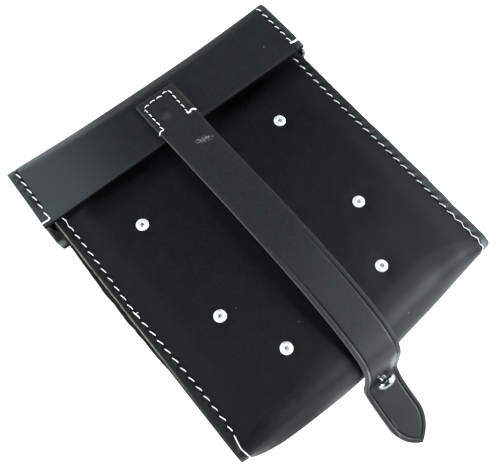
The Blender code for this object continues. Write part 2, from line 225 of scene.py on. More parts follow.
# the two ends of each stitch in the strap's end: down its left side, across it, down its right side
STRAP_SEAM = {
    "left": (
        (-11.95, 205.5, -11.3, 202.1), (-11.5, 201.3, -11.3, 197.8), (-11.7, 197.2, -11.3, 194.0),
        (-11.5, 193.3, -11.05, 189.6), (-11.95, 188.9, -11.3, 185.1),
    ),
    "top": (
        (-10.8, 206.45, -7.2, 206.4), (-6.3, 207.1, -1.95, 207.0), (-1.0, 207.2, 3.4, 206.5),
        (4.3, 207.7, 7.75, 207.4),
    ),
    "right": (
        (8.7, 207.6, 9.6, 203.9), (8.9, 203.0, 9.3, 199.3), (8.65, 198.4, 9.3, 195.0),
        (8.85, 193.9, 9.25, 190.2), (8.6, 189.3, 8.3, 184.8),
    ),
}
# how far from a seam it shapes the leather
SEAM_REACH = 8 * MM
# the hollow along a seam: its depth in millimetres, what it gains between stitches, its width
HOLLOW_DEPTH = 0.12
HOLLOW_RIPPLE = 0.15
HOLLOW_WIDTH = 1.3 * MM
GROOVE_WIDTH = 0.9 * MM
# how far outside the seam the puckers begin and are full, and where in a stitch they stand highest
PUCKER_START = 0.8 * MM
PUCKER_FULL = 2.6 * MM
PUCKER_PHASE = 2.64
# share of the stitch's length, height over the leather in thread diameters, thread width
STITCH_SHAPE = (
    (-0.5, -0.4, 0.75), (-0.43, 0.1, 0.92), (-0.27, 0.36, 1), (0, 0.44, 1), (0.27, 0.36, 1),
    (0.43, 0.1, 0.92), (0.5, -0.4, 0.75),
)
# random turn and shift of a stitch, and how far outwards it leans, in degrees and millimetres
STITCH_TURN = 2.5
STITCH_SHIFT = 0.15
STITCH_LEAN = 2
# how deep the thread dips between two stitches, and between two that lie loose, in its diameters
DIP = 1.1
LOOSE_DIP = 0.12

FRONT_Z = BODY_DEPTH
LID_FACE_Z = FRONT_Z + FLAP_LIFT + MAIN_THICK
SIDES = {"left": -1, "right": 1}
# where a table with a left and a right column keeps each side
SIDE_COLUMN = {"left": 1, "right": 2}
# marks of a place that is near no cut edge, and of one that is near no seam
NO_EDGE = 10 * MM
NO_SEAM = -20 * MM


# Sizes and curves


def smoothstep(low, high, value):
    share = min(max((value - low) / (high - low), 0), 1)
    return share * share * (3 - 2 * share)


def ridge(value, width):
    """A smooth bump of height 1 about zero."""
    return math.exp(-((value / width) ** 2))


def read_table(table, key, column=1):
    """The value in millimetre tables at a key in metres, in metres."""
    rows = np.array(table) * MM
    return float(np.interp(key, rows[:, 0], rows[:, column]))


def rounded_path(corners, radii, run_steps, arc_steps):
    """Points in (y, z) along straight runs joined by arcs."""
    corners = [Vector(corner) for corner in corners]
    points = []
    start = corners[0]
    for number, radius in enumerate(radii):
        corner = corners[number + 1]
        before = (corner - corners[number]).normalized()
        after = (corners[number + 2] - corner).normalized()
        trim = radius * math.tan(before.angle(after) / 2)
        arc_start = corner - before * trim
        arc_end = corner + after * trim
        centre = corner + (after - before).normalized() * radius / math.cos(before.angle(after) / 2)
        points += [start.lerp(arc_start, k / run_steps[number]) for k in range(run_steps[number])]
        spoke = arc_start - centre
        turn = spoke.angle_signed(arc_end - centre)
        for k in range(arc_steps[number]):
            angle = -turn * k / arc_steps[number]
            points.append(centre + Matrix.Rotation(angle, 2) @ spoke)
        start = arc_end
    points += [start.lerp(corners[-1], k / run_steps[-1]) for k in range(run_steps[-1] + 1)]
    return points


def on_path(path, row):
    """The point at a row of a path, where a row between two points is between them."""
    row = min(max(row, 0), len(path) - 1)
    low = min(int(row), len(path) - 2)
    return path[low].lerp(path[low + 1], row - low)


def curve_point(before, start, end, after, t):
    """The place at a share t from start to end on a curve through four points."""
    bend = (2 * before - 5 * start + 4 * end - after) * t**2
    twist = (3 * start - before - 3 * end + after) * t**3
    return (2 * start + (end - before) * t + bend + twist) / 2


def unevenness(x, y, size, seed):
    """A slow, even random height between about -1 and 1."""
    return noise.noise(Vector((x / size, y / size, seed))) * 2


def pillow(x, z):
    """How far the stuffed front stands over its seams."""
    across = smoothstep(PILLOW_START, PILLOW_FULL, abs(x))
    return PILLOW_RISE * across * smoothstep(FRONT_Z - PILLOW_FADE, FRONT_Z, z)


def bottom_swell(x, z):
    """How far the bottom stands past its corners, where the outer face is z above the ground."""
    depth = max(math.sin(math.pi * z / BODY_DEPTH), 0)
    return read_table(BOTTOM_SWELL, x) * depth**SWELL_POWER


def body_path(x, inset=0.0, back_top=BACK_TOP_Y, runs=BODY_RUNS, arcs=BODY_ARCS):
    """The body's side outline at x, from the back's top edge round the bottom to the mouth."""
    corners = (
        (back_top, inset), (inset, inset), (inset, BODY_DEPTH - inset), (MOUTH_Y, BODY_DEPTH - inset),
    )
    radii = (BACK_ROLL - inset, read_table(FRONT_ROLL, x) - inset)
    return rounded_path(corners, radii, runs, arcs)


def lid_path(inset=0.0, front_roll=LID_MIDDLE_ROLL, runs=LID_RUNS, arcs=LID_ARCS):
    """The lid's side outline, from the flap's lower edge over the top to the tab inside the back."""
    tab_z = TAB_Z + inset
    corners = (
        (FLAP_EDGE_Y, LID_FACE_Z - inset), (LID_TOP_Y - inset, LID_FACE_Z - inset),
        (LID_TOP_Y - inset, tab_z), (TAB_END_Y, tab_z),
    )
    radii = (front_roll - inset, LID_BACK_ROLL - inset)
    return rounded_path(corners, radii, runs, arcs)


def rivet_dish(x, y):
    """How far the leather is drawn down round the rivets."""
    depth = 0
    for rivet_x, rivet_y in RIVETS:
        away = math.hypot(x - rivet_x * MM, y - rivet_y * MM)
        depth = max(depth, DISH_DEPTH * (1 - smoothstep(DISH_START, DISH_END, away)))
    return depth


def tongue_share(distance):
    """The share of the full width at a distance from the tip: a pointed arch, then straight edges."""
    if distance >= TONGUE_LENGTH:
        return 1
    radius = (TONGUE_LENGTH**2 + TONGUE_HALF**2) / (2 * TONGUE_HALF)
    arch = math.sqrt(radius**2 - (TONGUE_LENGTH - distance) ** 2) - radius + TONGUE_HALF
    return max(arch, TIP_HALF) / TONGUE_HALF


# Surfaces and seams


class Surface:
    """A leather's outer face: a point for each place across it and row along it."""

    row_step = 0.5

    def __init__(self):
        self.paths = {}
        self.seams = ()

    def scale(self, row):
        """Metres for one unit across."""
        return 1

    def groove(self, row):
        """How deep the thread lies in the leather."""
        return 0

    def normal(self, across, row):
        step = 0.4 * MM / self.scale(row)
        sideways = self.smooth_point(across + step, row) - self.smooth_point(across - step, row)
        before, after = (self.smooth_point(across, row + way * self.row_step) for way in (-1, 1))
        return sideways.cross(after - before).normalized()

    def point(self, across, row):
        """A place with the leather drawn in along its seams and puckered outside them."""
        height = 0
        for seam in self.seams:
            aside, phase = seam.marks(across, row)
            if abs(aside) < SEAM_REACH:
                between = 0.5 - 0.5 * math.cos(math.tau * phase)
                height -= (HOLLOW_DEPTH + HOLLOW_RIPPLE * between) * MM * ridge(aside, HOLLOW_WIDTH)
                height -= self.groove(row) * ridge(aside, GROOVE_WIDTH)
                outside = smoothstep(PUCKER_START, PUCKER_FULL, aside)
                height += self.pucker * outside * (math.sin(math.tau * phase + PUCKER_PHASE) - 1)
        place = self.smooth_point(across, row)
        return place + self.normal(across, row) * height if height else place

    def over(self, across, row, sideways, height):
        """The point some metres towards +X of a place and over it."""
        across += sideways / self.scale(row)
        return self.smooth_point(across, row) + self.normal(across, row) * height

    def marks(self, across, row):
        """How far the nearest cut edge is, how far the nearest seam is, and the phase of its stitches."""
        found = [seam.marks(across, row) for seam in self.seams]
        return (self.edge_distance(across, row), *min(found, key=lambda marks: abs(marks[0])))


class Seam:
    """A row of stitches at one place across a surface.

    The phase counts stitches: it is whole in the middle of each and half between two.
    """

    def __init__(self, surface, line, side):
        """The line is the seam's place across the surface at each row."""
        self.surface = surface
        self.line = line
        self.outward = SIDES[side]
        self.rows = np.arange(surface.rows + 1)
        self.points = np.array([surface.smooth_point(line[row], row) for row in self.rows])
        steps = np.linalg.norm(np.diff(self.points, axis=0), axis=1)
        self.distances = np.concatenate([[0], np.cumsum(steps)])

    def set_middles(self, middles):
        """Gives the distances of the stitches' middles along the surface."""
        self.middles = list(middles)
        knots = np.array(sorted(middles))
        first, last = knots[1] - knots[0], knots[-1] - knots[-2]
        self.knots = np.concatenate([[knots[0] - 50 * first], knots, [knots[-1] + 50 * last]])
        self.counts = np.concatenate([[-50], np.arange(len(knots)), [len(knots) + 49]])

    def distance_at(self, y, rows):
        """The distance where a stretch of the seam is at y."""
        return float(np.interp(y, self.points[rows, 1], self.distances[rows]))

    def across(self, row):
        return float(np.interp(row, self.rows, self.line))

    def marks(self, across, row):
        """How far outside the seam a place is, and its phase."""
        aside = (across - self.across(row)) * self.outward * self.surface.scale(row)
        distance = float(np.interp(row, self.rows, self.distances))
        return aside, float(np.interp(distance, self.knots, self.counts))

    def row(self, distance):
        return float(np.interp(distance, self.distances, self.rows))

    def place(self, distance, sideways, height, outside=True):
        """The point over the leather, or over the bottom of the groove where the thread is outside."""
        row = self.row(distance)
        sunk = self.surface.groove(row) if outside else 0
        return self.surface.over(self.across(row), row, sideways, height - sunk)


class BodySurface(Surface):
    """The leather of front, bottom and back, from the back's top edge to the mouth."""

    pucker = 0.11 * MM

    def __init__(self):
        super().__init__()
        self.rows = len(body_path(0)) - 1
        self.seams = []
        for side in SIDES:
            seam = Seam(self, [self.seam_x(side, row) for row in range(self.rows + 1)], side)
            top = seam.distance_at(BODY_SEAM_TOP[side], slice(FRONT_ROW, None))
            seam.set_middles(np.arange(top, BODY_SEAM_END, -BODY_PITCH))
            self.seams.append(seam)

    def seam_x(self, side, row):
        y, z = self.path(SEAM_X)[row]
        front = smoothstep(15 * MM, 55 * MM, z)
        line_x = read_table(BODY_SEAM_LINE, y, SIDE_COLUMN[side])
        return SIDES[side] * (SEAM_X + (line_x - SEAM_X) * front)

    def groove(self, row):
        return BACK_GROOVE * smoothstep(BODY_RUNS[0] + 4, BODY_RUNS[0] - 1, row)

    def path(self, x):
        key = round(x / MM, 2)
        if key not in self.paths:
            self.paths[key] = body_path(x)
        return self.paths[key]

    def smooth_point(self, x, row):
        y, z = on_path(self.path(x), row)
        front = smoothstep(FRONT_Z - PILLOW_FADE, FRONT_Z, z)
        uneven = sum(unevenness(x, y, size * MM, seed) * height * MM for size, seed, height in BODY_UNEVEN)
        height = pillow(x, z) + front * (uneven * smoothstep(98 * MM, 84 * MM, abs(x)) - rivet_dish(x, y))
        flare = front * smoothstep(96 * MM, 100 * MM, x) * read_table(RIGHT_FLARE, y)
        return Vector((x + flare, y - bottom_swell(x, z), z + height))

    def edge_distance(self, x, row):
        return BODY_WIDTH / 2 - abs(x)


class LidSurface(Surface):
    """The lid's leather, from the flap's lower edge over the top to the tab inside the back."""

    pucker = 0.06 * MM

    def __init__(self):
        super().__init__()
        self.rows = len(lid_path()) - 1
        self.seams = []
        front = slice(0, LID_RUNS[0] + LID_ARCS[0])
        top_end = LID_RUNS[0] + LID_ARCS[0] + LID_RUNS[1]
        for side in SIDES:
            seam = Seam(self, [LID_SEAM_SHARE[side]] * (self.rows + 1), side)
            middles = [seam.distance_at(y * MM, front) for y in LID_SEAM[side]]
            last = seam.distances[top_end] - LID_SEAM_END
            seam.set_middles([*middles, *np.arange(middles[-1] + LID_PITCH, last, LID_PITCH)])
            self.seams.append(seam)

    def path(self, share):
        key = round(share, 5)
        if key not in self.paths:
            end = LID_END_ROLL["left" if share < 0.5 else "right"]
            self.paths[key] = lid_path(0, LID_MIDDLE_ROLL + (end - LID_MIDDLE_ROLL) * (2 * share - 1) ** 2)
        return self.paths[key]

    def reach(self, y, z):
        """The x of the left and the right edge, which is narrower on the tab."""
        full = smoothstep(MAIN_THICK, NARROW_Z, z)
        edges = (read_table(LID_REACH, y, column) for column in (1, 2))
        left, right = (TAB_REACH + (edge - TAB_REACH) * full for edge in edges)
        return -left, right

    def scale(self, row):
        return 2 * LID_REACH[1][1] * MM

    def smooth_point(self, share, row):
        y, z = on_path(self.path(share), row)
        left, right = self.reach(y, z)
        x = left + (right - left) * share
        uneven = unevenness(x, y, 38 * MM, 12.4) * 0.2 * MM * smoothstep(0, 0.08, min(share, 1 - share))
        return Vector((x, y, z + uneven * smoothstep(60 * MM, 72 * MM, z)))

    def edge_distance(self, share, row):
        y = on_path(self.path(share), row).x
        return min(y - FLAP_EDGE_Y if row < self.rows / 2 else 1, min(share, 1 - share) * self.scale(row))


class StrapSurface(Surface):
    """The strap's outer face; across goes from -1 to 1, and a row is a distance from the tip in metres."""

    row_step = 0.4 * MM

    def __init__(self):
        super().__init__()
        knots = np.array(STRAP_SECTIONS) * MM + (0, FRONT_Z, 0, 0)
        knots = np.vstack([2 * knots[0] - knots[1], knots, 2 * knots[-1] - knots[-2]])
        points = []
        for four in zip(knots, knots[1:], knots[2:], knots[3:]):
            points += [curve_point(*four, t) for t in np.arange(CURVE_STEPS) / CURVE_STEPS]
        self.points = np.array([*points, knots[-2]])
        steps = np.hypot(*np.diff(self.points[:, :2], axis=0).T)
        self.lengths = np.concatenate([[0], np.cumsum(steps)])
        self.length = float(self.lengths[-1])

    def section(self, distance):
        """y, z, the left and right x at a distance from the tip, and the tongue's share of the width."""
        y, z, left, right = (float(np.interp(distance, self.lengths, values)) for values in self.points.T)
        return y, z, left, right, tongue_share(distance)

    def scale(self, distance):
        _, _, left, right, width = self.section(distance)
        return (right - left) / 2 * width

    def place_at(self, x, y):
        """Across and row of a place on the stretch over the front."""
        onto = self.points[:, 0] > 20 * MM
        distance = float(np.interp(y, self.points[onto, 0], self.lengths[onto]))
        _, _, left, right, _ = self.section(distance)
        return (x - (left + right) / 2) / ((right - left) / 2), distance

    def edge_distance(self, share, distance):
        _, _, left, right, width = self.section(distance)
        half = (right - left) / 2
        nearest = half * width * (1 - abs(share))
        if distance < TONGUE_LENGTH + 4 * MM:
            for along in np.linspace(0, TONGUE_LENGTH, 49):
                reach = half * tongue_share(along)
                nearest = min(nearest, math.hypot(half * width * abs(share) - reach, distance - along))
        return min(nearest, self.length - distance)

    def smooth_point(self, share, distance):
        y, z, left, right, width = self.section(distance)
        x = (left + right) / 2 + share * (right - left) / 2 * width
        if distance > self.length:
            y += distance - self.length
        return Vector((x, y, z))

    def point(self, share, distance):
        """A place with the crease beside the edges pressed in, and the leather drawn in under the seam."""
        place = self.smooth_point(share, distance)
        edge, aside, _ = self.marks(share, distance)
        worn = smoothstep(200 * MM, 140 * MM, distance)
        depth = CREASE_DEPTH * ridge(edge - CREASE_INSET, CREASE_WIDTH) * worn
        depth += STRAP_SEAM_DEPTH * ridge(aside, STRAP_SEAM_WIDTH)
        return place - self.normal(share, distance) * depth if depth > 0.01 * MM else place

    def marks(self, share, distance):
        edge = self.edge_distance(share, distance)
        x, y, _ = self.smooth_point(share, distance) / MM
        if y < 182 or distance < self.length / 2:
            return edge, NO_SEAM, 0
        found = []
        for side, direction, at in (("left", -1, x), ("top", 1, y), ("right", 1, x)):
            middles = np.array([((x1 + x2) / 2, (y1 + y2) / 2) for x1, y1, x2, y2 in STRAP_SEAM[side]])
            level, along = middles.T if side != "top" else middles.T[::-1]
            order = np.argsort(along)
            spot = y if side != "top" else x
            phase = float(np.interp(spot, along[order], np.arange(len(along))))
            found.append((direction * (at - float(np.interp(spot, along[order], level[order]))), phase))
        aside, phase = max(found)
        return edge, aside * MM, phase


# Mesh helpers


def grid_mesh(across, along, place, marks):
    """A grid over two lists of positions, with a UV map in metres and the marks that the finishes read."""
    bm = bmesh.new()
    uv = bm.loops.layers.uv.new("UVMap")
    layers = [bm.verts.layers.float.new(name) for name in ("edge_distance", "seam_across", "seam_phase")]
    bmesh.ops.create_grid(bm, x_segments=len(across) - 1, y_segments=len(along) - 1, size=1)
    cells = {}
    for vertex in bm.verts:
        row = round((vertex.co.y + 1) / 2 * (len(along) - 1))
        column = round((vertex.co.x + 1) / 2 * (len(across) - 1))
        vertex.co = place(across[column], along[row]) - FOOTPRINT_MIDDLE
        cells[vertex] = (row, column)
        for layer, value in zip(layers, marks(across[column], along[row])):
            vertex[layer] = value
    for face in bm.faces:
        for loop in face.loops:
            row, column = cells[loop.vert]
            loop[uv].uv = (across[column], along[row])
    return bm, cells


def new_object(name, bm, materials, smooth_angle=40):
    mesh = bpy.data.meshes.new(name)
    bm.to_mesh(mesh)
    bm.free()
    return finished_object(name, mesh, materials, smooth_angle)


def finished_object(name, mesh, materials, smooth_angle=40):
    mesh.shade_smooth()
    mesh.set_sharp_from_angle(angle=math.radians(smooth_angle))
    obj = bpy.data.objects.new(name, mesh)
    bpy.context.scene.collection.objects.link(obj)
    for material in materials:
        mesh.materials.append(material)
    return obj


def thicken(obj, thickness, rounding):
    """Gives a sheet its thickness inwards, a flesh side, a cut edge and slightly rounded arrises."""
    solidify = obj.modifiers.new("leather thickness", "SOLIDIFY")
    solidify.thickness = thickness
    solidify.offset = -1
    solidify.use_even_offset = True
    solidify.material_offset = 1
    solidify.material_offset_rim = 2
    bevel = obj.modifiers.new("worn arris", "BEVEL")
    bevel.width = rounding
    bevel.segments = 3
    bevel.limit_method = "ANGLE"
    bevel.angle_limit = math.radians(50)


def leather_piece(name, bm, grain, edge, thickness):
    """A leather from its outer face, with a flesh side and a cut edge."""
    made = finishes()
    piece = new_object(name, bm, [made[grain], made["flesh_side"], made[edge]])
    thicken(piece, thickness, bpy.context.scene.pouch_sizes.arris)
    return piece


def punch(obj, holes):
    """Cuts round holes, each a radius, a start and an end, and applies them with what is under them."""
    bm = bmesh.new()
    for radius, start, end in holes:
        axis = end - start
        turn = Vector((0, 0, 1)).rotation_difference(axis).to_matrix().to_4x4()
        place = Matrix.Translation((start + end) / 2 - FOOTPRINT_MIDDLE) @ turn
        bmesh.ops.create_cone(
            bm, cap_ends=True, segments=32, radius1=radius, radius2=radius, depth=axis.length, matrix=place
        )
    cutter = new_object("punch", bm, [])
    boolean = obj.modifiers.new("holes", "BOOLEAN")
    boolean.operation = "DIFFERENCE"
    boolean.solver = "EXACT"
    boolean.object = cutter
    graph = bpy.context.evaluated_depsgraph_get()
    cut_mesh = bpy.data.meshes.new_from_object(
        obj.evaluated_get(graph), preserve_all_data_layers=True, depsgraph=graph
    )
    obj.modifiers.clear()
    obj.data = cut_mesh
    cut_mesh.shade_smooth()
    cut_mesh.set_sharp_from_angle(angle=math.radians(40))
    bpy.data.objects.remove(cutter)


def turned_object(name, outline, place, material, steps=64):
    """A round piece from (radius, height) rows in millimetres, turned about its axis and closed."""
    bm = bmesh.new()
    line = [bm.verts.new((0, 0, outline[0][1] * MM))]
    line += [bm.verts.new((radius * MM, 0, height * MM)) for radius, height in outline]
    edges = [bm.edges.new(pair) for pair in zip(line, line[1:])]
    bmesh.ops.spin(
        bm, geom=line + edges, cent=(0, 0, 0), axis=(0, 0, 1), angle=math.tau, steps=steps, use_merge=True
    )
    bmesh.ops.remove_doubles(bm, verts=bm.verts, dist=0.005 * MM)
    bmesh.ops.recalc_face_normals(bm, faces=bm.faces)
    bmesh.ops.transform(bm, verts=bm.verts, matrix=Matrix.Translation(-FOOTPRINT_MIDDLE) @ place)
    return new_object(name, bm, [material], 35)


def thread_object(name, lines, diameter, material):
    """Lines of (point, share of the width) as one mesh of round thread."""
    curve = bpy.data.curves.new(name, "CURVE")
    curve.dimensions = "3D"
    curve.bevel_depth = diameter / 2
    curve.bevel_resolution = 2
    curve.use_fill_caps = True
    for line in lines:
        spline = curve.splines.new("POLY")
        spline.points.add(len(line) - 1)
        for point, (place, width) in zip(spline.points, line):
            point.co = (*(place - FOOTPRINT_MIDDLE), 1)
            point.radius = width
    model = bpy.data.objects.new(name, curve)
    bpy.context.scene.collection.objects.link(model)
    graph = bpy.context.evaluated_depsgraph_get()
    mesh = bpy.data.meshes.new_from_object(model.evaluated_get(graph), depsgraph=graph)
    bpy.data.objects.remove(model)
    mesh.materials.clear()
    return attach(finished_object(name, mesh, [material], 60), "root")


def both_sides(values):
    return sorted({-value for value in values} | set(values))


# Stitches


def stitch(place, length, slant, bow, diameter, base=0.0, away=1, shown=False):
    """One stitch as (point, width) rows, where place(onward, sideways, height) is about its middle."""
    rows = []
    for share, height, width in STITCH_SHAPE:
        onward = share * length
        sideways = -math.tan(slant) * onward + bow * (1 - 4 * share * share)
        height = max(height, -0.05) if shown else height
        rows.append((place(onward, sideways, base + away * height * diameter), width))
    return rows


def sew(seam, sizes, length_change=0.08, base=0.0, away=1, shown=(), skipped=()):
    """The thread of a seam as lines, dipping through the leather between the stitches."""
    chance = random.Random(7)
    diameter = sizes.thread_diameter
    lines, line = [], []
    for number, middle in enumerate(seam.middles):
        length = sizes.stitch_length * (1 + chance.uniform(-length_change, length_change))
        turn = chance.uniform(-STITCH_TURN, STITCH_TURN) + STITCH_LEAN * seam.outward
        slant = sizes.stitch_slant + math.radians(turn)
        middle += chance.uniform(-STITCH_SHIFT, STITCH_SHIFT) * MM
        if number in skipped:
            lines.append(line)
            line = []
            continue
        visible = number in shown or number + 1 in shown
        rows = stitch(
            lambda onward, sideways, height: seam.place(middle + onward, sideways, height, away > 0),
            length, slant, (0.12 - 0.06 * seam.outward) * MM, diameter, base, away, visible,
        )
        if seam.middles[0] > seam.middles[-1]:
            rows.reverse()
        if line:
            depth = (LOOSE_DIP if number in shown else DIP) * diameter
            aside = (line[-1][0] + rows[0][0]) / 2
            row = seam.row(middle)
            line.append((aside - seam.surface.normal(seam.across(row), row) * away * depth, 0.75))
        line += rows
    lines.append(line)
    return [line for line in lines if line]


def strap_stitches(surface, sizes):
    """The stitches across the strap's end and down its two sides."""
    lines = []
    for x1, y1, x2, y2 in (ends for side in STRAP_SEAM.values() for ends in side):
        start, end = Vector((x1, y1)) * MM, Vector((x2, y2)) * MM
        onto = (end - start).normalized()
        aside = Vector((-onto.y, onto.x))

        def place(onward, sideways, height):
            share, distance = surface.place_at(*((start + end) / 2 + onto * onward + aside * sideways))
            return surface.over(share, distance, 0, height)

        lines.append(stitch(place, (end - start).length - 0.7 * MM, 0, 0.2 * MM, sizes.thread_diameter))
    return lines


# Materials


def node(tree, kind, inputs=None, **settings):
    made = tree.nodes.new(kind)
    for key, value in settings.items():
        setattr(made, key, value)
    for key, value in (inputs or {}).items():
        if isinstance(value, bpy.types.NodeSocket):
            tree.links.new(value, made.inputs[key])
        else:
            made.inputs[key].default_value = value
    return made


def compute(tree, operation, first, second=0.0, third=0.0):
    """A math node's result."""
    return node(tree, "ShaderNodeMath", {0: first, 1: second, 2: third}, operation=operation).outputs[0]


def times(tree, first, second):
    return compute(tree, "MULTIPLY", first, second)


def times_plus(tree, first, second, added):
    return compute(tree, "MULTIPLY_ADD", first, second, added)


def fade(tree, value, low, high, bottom=0.0, top=1.0):
    """A smooth change from bottom to top while a value goes from low to high."""
    made = node(
        tree, "ShaderNodeMapRange",
        {"Value": value, "From Min": low, "From Max": high, "To Min": bottom, "To Max": top},
        interpolation_type="SMOOTHSTEP",
    )
    return made.outputs["Result"]


def mix(tree, factor, first, second):
    """A colour between two others."""
    return node(tree, "ShaderNodeMix", {"Factor": factor, 6: first, 7: second}, data_type="RGBA").outputs[2]


def cloud(tree, place, scale, detail=3.0, roughness=0.55):
    inputs = {"Vector": place, "Scale": scale, "Detail": detail, "Roughness": roughness}
    return node(tree, "ShaderNodeTexNoise", inputs).outputs["Fac"]


def add_bump(tree, shader, strength, distance, height):
    bump = node(tree, "ShaderNodeBump", {"Strength": strength, "Distance": distance, "Height": height})
    tree.links.new(bump.outputs["Normal"], shader.inputs["Normal"])


def new_group(name, inputs, outputs):
    """A shader node group with named value or vector sockets."""
    group = bpy.data.node_groups.new(name, "ShaderNodeTree")
    kinds = {"value": "NodeSocketFloat", "vector": "NodeSocketVector"}
    for socket_name, kind, default in inputs:
        socket = group.interface.new_socket(socket_name, in_out="INPUT", socket_type=kinds[kind])
        if default is not None:
            socket.default_value = default
    for socket_name in outputs:
        group.interface.new_socket(socket_name, in_out="OUTPUT", socket_type="NodeSocketFloat")
    start = group.nodes.new("NodeGroupInput")
    end = group.nodes.new("NodeGroupOutput")
    return group, start.outputs, end.inputs


def grain_group():
    """Fine grain, shallow pull-up mottling and scratches of a waxed leather."""
    group, given, out = new_group(
        "leather_grain",
        [("Place", "vector", None), ("Grain Size", "value", 0.0007), ("Mottle Size", "value", 0.012)],
        ["Height", "Mottle", "Fleck", "Hue", "Scratches"],
    )
    place = given["Place"]
    fine_scale = compute(group, "DIVIDE", 1.0, given["Grain Size"])
    wide_scale = compute(group, "DIVIDE", 1.0, given["Mottle Size"])
    cells = node(
        group, "ShaderNodeTexVoronoi", {"Vector": place, "Scale": fine_scale, "Randomness": 0.9},
        feature="SMOOTH_F1",
    )
    pores = cloud(group, place, fine_scale, 3.0, 0.6)
    rough = compute(group, "ADD", cells.outputs["Distance"], pores)
    wrinkles = cloud(group, place, 420.0, 2.0, 0.5)
    group.links.new(times_plus(group, wrinkles, 1.6, rough), out["Height"])
    group.links.new(fade(group, cloud(group, place, wide_scale, 5.0, 0.62), 0.3, 0.7), out["Mottle"])
    group.links.new(fade(group, cloud(group, place, 650.0, 3.0, 0.7), 0.3, 0.7), out["Fleck"])
    group.links.new(fade(group, cloud(group, place, 210.0, 2.0, 0.6), 0.35, 0.65), out["Hue"])
    streaks = {"Vector": place, "Rotation": (0, 0, 0.9), "Scale": (900, 60, 60)}
    bent = node(group, "ShaderNodeMapping", streaks)
    lines = cloud(group, bent.outputs["Vector"], 1.0, 1.0, 0.4)
    patches = fade(group, cloud(group, place, 38.0, 1.0), 0.5, 0.62)
    scratch = times(group, fade(group, lines, 0.66, 0.74), patches)
    group.links.new(scratch, out["Scratches"])
    return group


def edge_group():
    """Wear along a cut edge, and a pressed crease beside it with painted shade in it and a painted highlight
    along its lit side, from how far the surface is from the edge.
    """
    group, given, out = new_group(
        "edge_wear",
        [
            ("Edge Distance", "value", 0.01),
            ("Crease Inset", "value", -1.0),
            ("Side", "value", 1.0),
            ("Place", "vector", None),
        ],
        ["Arris", "Burnish", "Crease", "Crease Highlight"],
    )
    distance = given["Edge Distance"]
    wander = cloud(group, given["Place"], 160.0)
    uneven = times_plus(group, wander, 0.0008, distance)
    group.links.new(
        times(group, fade(group, uneven, 0.0012, 0.0007), fade(group, wander, 0.35, 0.6)), out["Arris"]
    )
    group.links.new(fade(group, uneven, 0.0035, 0.0012), out["Burnish"])
    beside = compute(group, "SUBTRACT", distance, given["Crease Inset"])
    group.links.new(fade(group, compute(group, "ABSOLUTE", beside), 0.0006, 0.0002), out["Crease"])
    lit = compute(group, "ABSOLUTE", times_plus(group, given["Side"], -0.00095, beside))
    group.links.new(fade(group, lit, 0.0006, 0.0002), out["Crease Highlight"])
    return group


def seam_group():
    """Slits that the awl left between the stitches, a pressed line with painted shade along their inner
    side, and painted shade in the puckers' hollows outside the seam.
    """
    group, given, out = new_group(
        "seam_marks",
        [("Across", "value", -0.02), ("Phase", "value", 0.0), ("Side", "value", 1.0),
         ("Place", "vector", None)],
        ["Slit", "Press And Shade", "Outside", "Hollow Shade"],
    )
    across = given["Across"]
    between = compute(group, "SUBTRACT", compute(group, "FRACT", given["Phase"]), 0.5)
    lean = times(group, times(group, between, given["Side"]), 0.0030)
    aside = compute(group, "ABSOLUTE", compute(group, "ADD", compute(group, "ADD", across, 0.0003), lean))
    along = compute(group, "ABSOLUTE", between)
    slit = times(group, fade(group, aside, 0.0009, 0.0005), fade(group, along, 0.30, 0.22))
    group.links.new(slit, out["Slit"])
    inner = compute(group, "ABSOLUTE", compute(group, "ADD", across, 0.0009))
    group.links.new(fade(group, inner, 0.0009, 0.0002), out["Press And Shade"])
    outside = fade(group, across, 0.0004, 0.0011)
    group.links.new(outside, out["Outside"])
    wave = compute(group, "SINE", times(group, given["Phase"], math.tau))
    rippled = times_plus(group, wave, 0.13, cloud(group, given["Place"], 190.0, 3.0))
    patches = fade(group, rippled, 0.4, 0.56)
    beside = fade(group, across, 0.0038, 0.0020)
    group.links.new(times(group, times(group, outside, beside), patches), out["Hollow Shade"])
    return group


def spot_group():
    """A soft uneven spot about a centre."""
    group, given, out = new_group(
        "wear_spot",
        [
            ("Place", "vector", None),
            ("Centre", "vector", None),
            ("Size", "vector", None),
            ("Turn", "value", 0.0),
            ("Breakup", "value", 0.0),
        ],
        ["Spot"],
    )
    away = node(group, "ShaderNodeVectorMath", {0: given["Place"], 1: given["Centre"]}, operation="SUBTRACT")
    turned = node(
        group, "ShaderNodeVectorRotate", {"Vector": away.outputs[0], "Angle": given["Turn"]},
        rotation_type="Z_AXIS",
    )
    sized = node(group, "ShaderNodeVectorMath", {0: turned.outputs[0], 1: given["Size"]}, operation="DIVIDE")
    length = node(group, "ShaderNodeVectorMath", {0: sized.outputs[0]}, operation="LENGTH").outputs["Value"]
    ragged = times_plus(group, cloud(group, given["Place"], 900.0), 0.7, length)
    broken = fade(group, cloud(group, given["Place"], 1100.0, 2.0, 0.6), 0.5, 0.64)
    kept = fade(group, given["Breakup"], 0, 1, 1.0, broken)
    group.links.new(times(group, fade(group, ragged, 1.3, 0.6), kept), out["Spot"])
    return group


def shade(colour, factor):
    return (*(channel * factor for channel in colour), 1)


def grouped(tree, group, **inputs):
    """A group node, with spaces for the underscores in the names of its inputs."""
    named = {key.replace("_", " "): value for key, value in inputs.items()}
    return node(tree, "ShaderNodeGroup", named, node_tree=group).outputs


def attribute(tree, name):
    return node(tree, "ShaderNodeAttribute", attribute_name=name).outputs["Fac"]


def new_material(name):
    material = bpy.data.materials.new(name)
    material.use_nodes = True
    tree = material.node_tree
    return tree, tree.nodes["Principled BSDF"], node(tree, "ShaderNodeTexCoord").outputs["Object"]


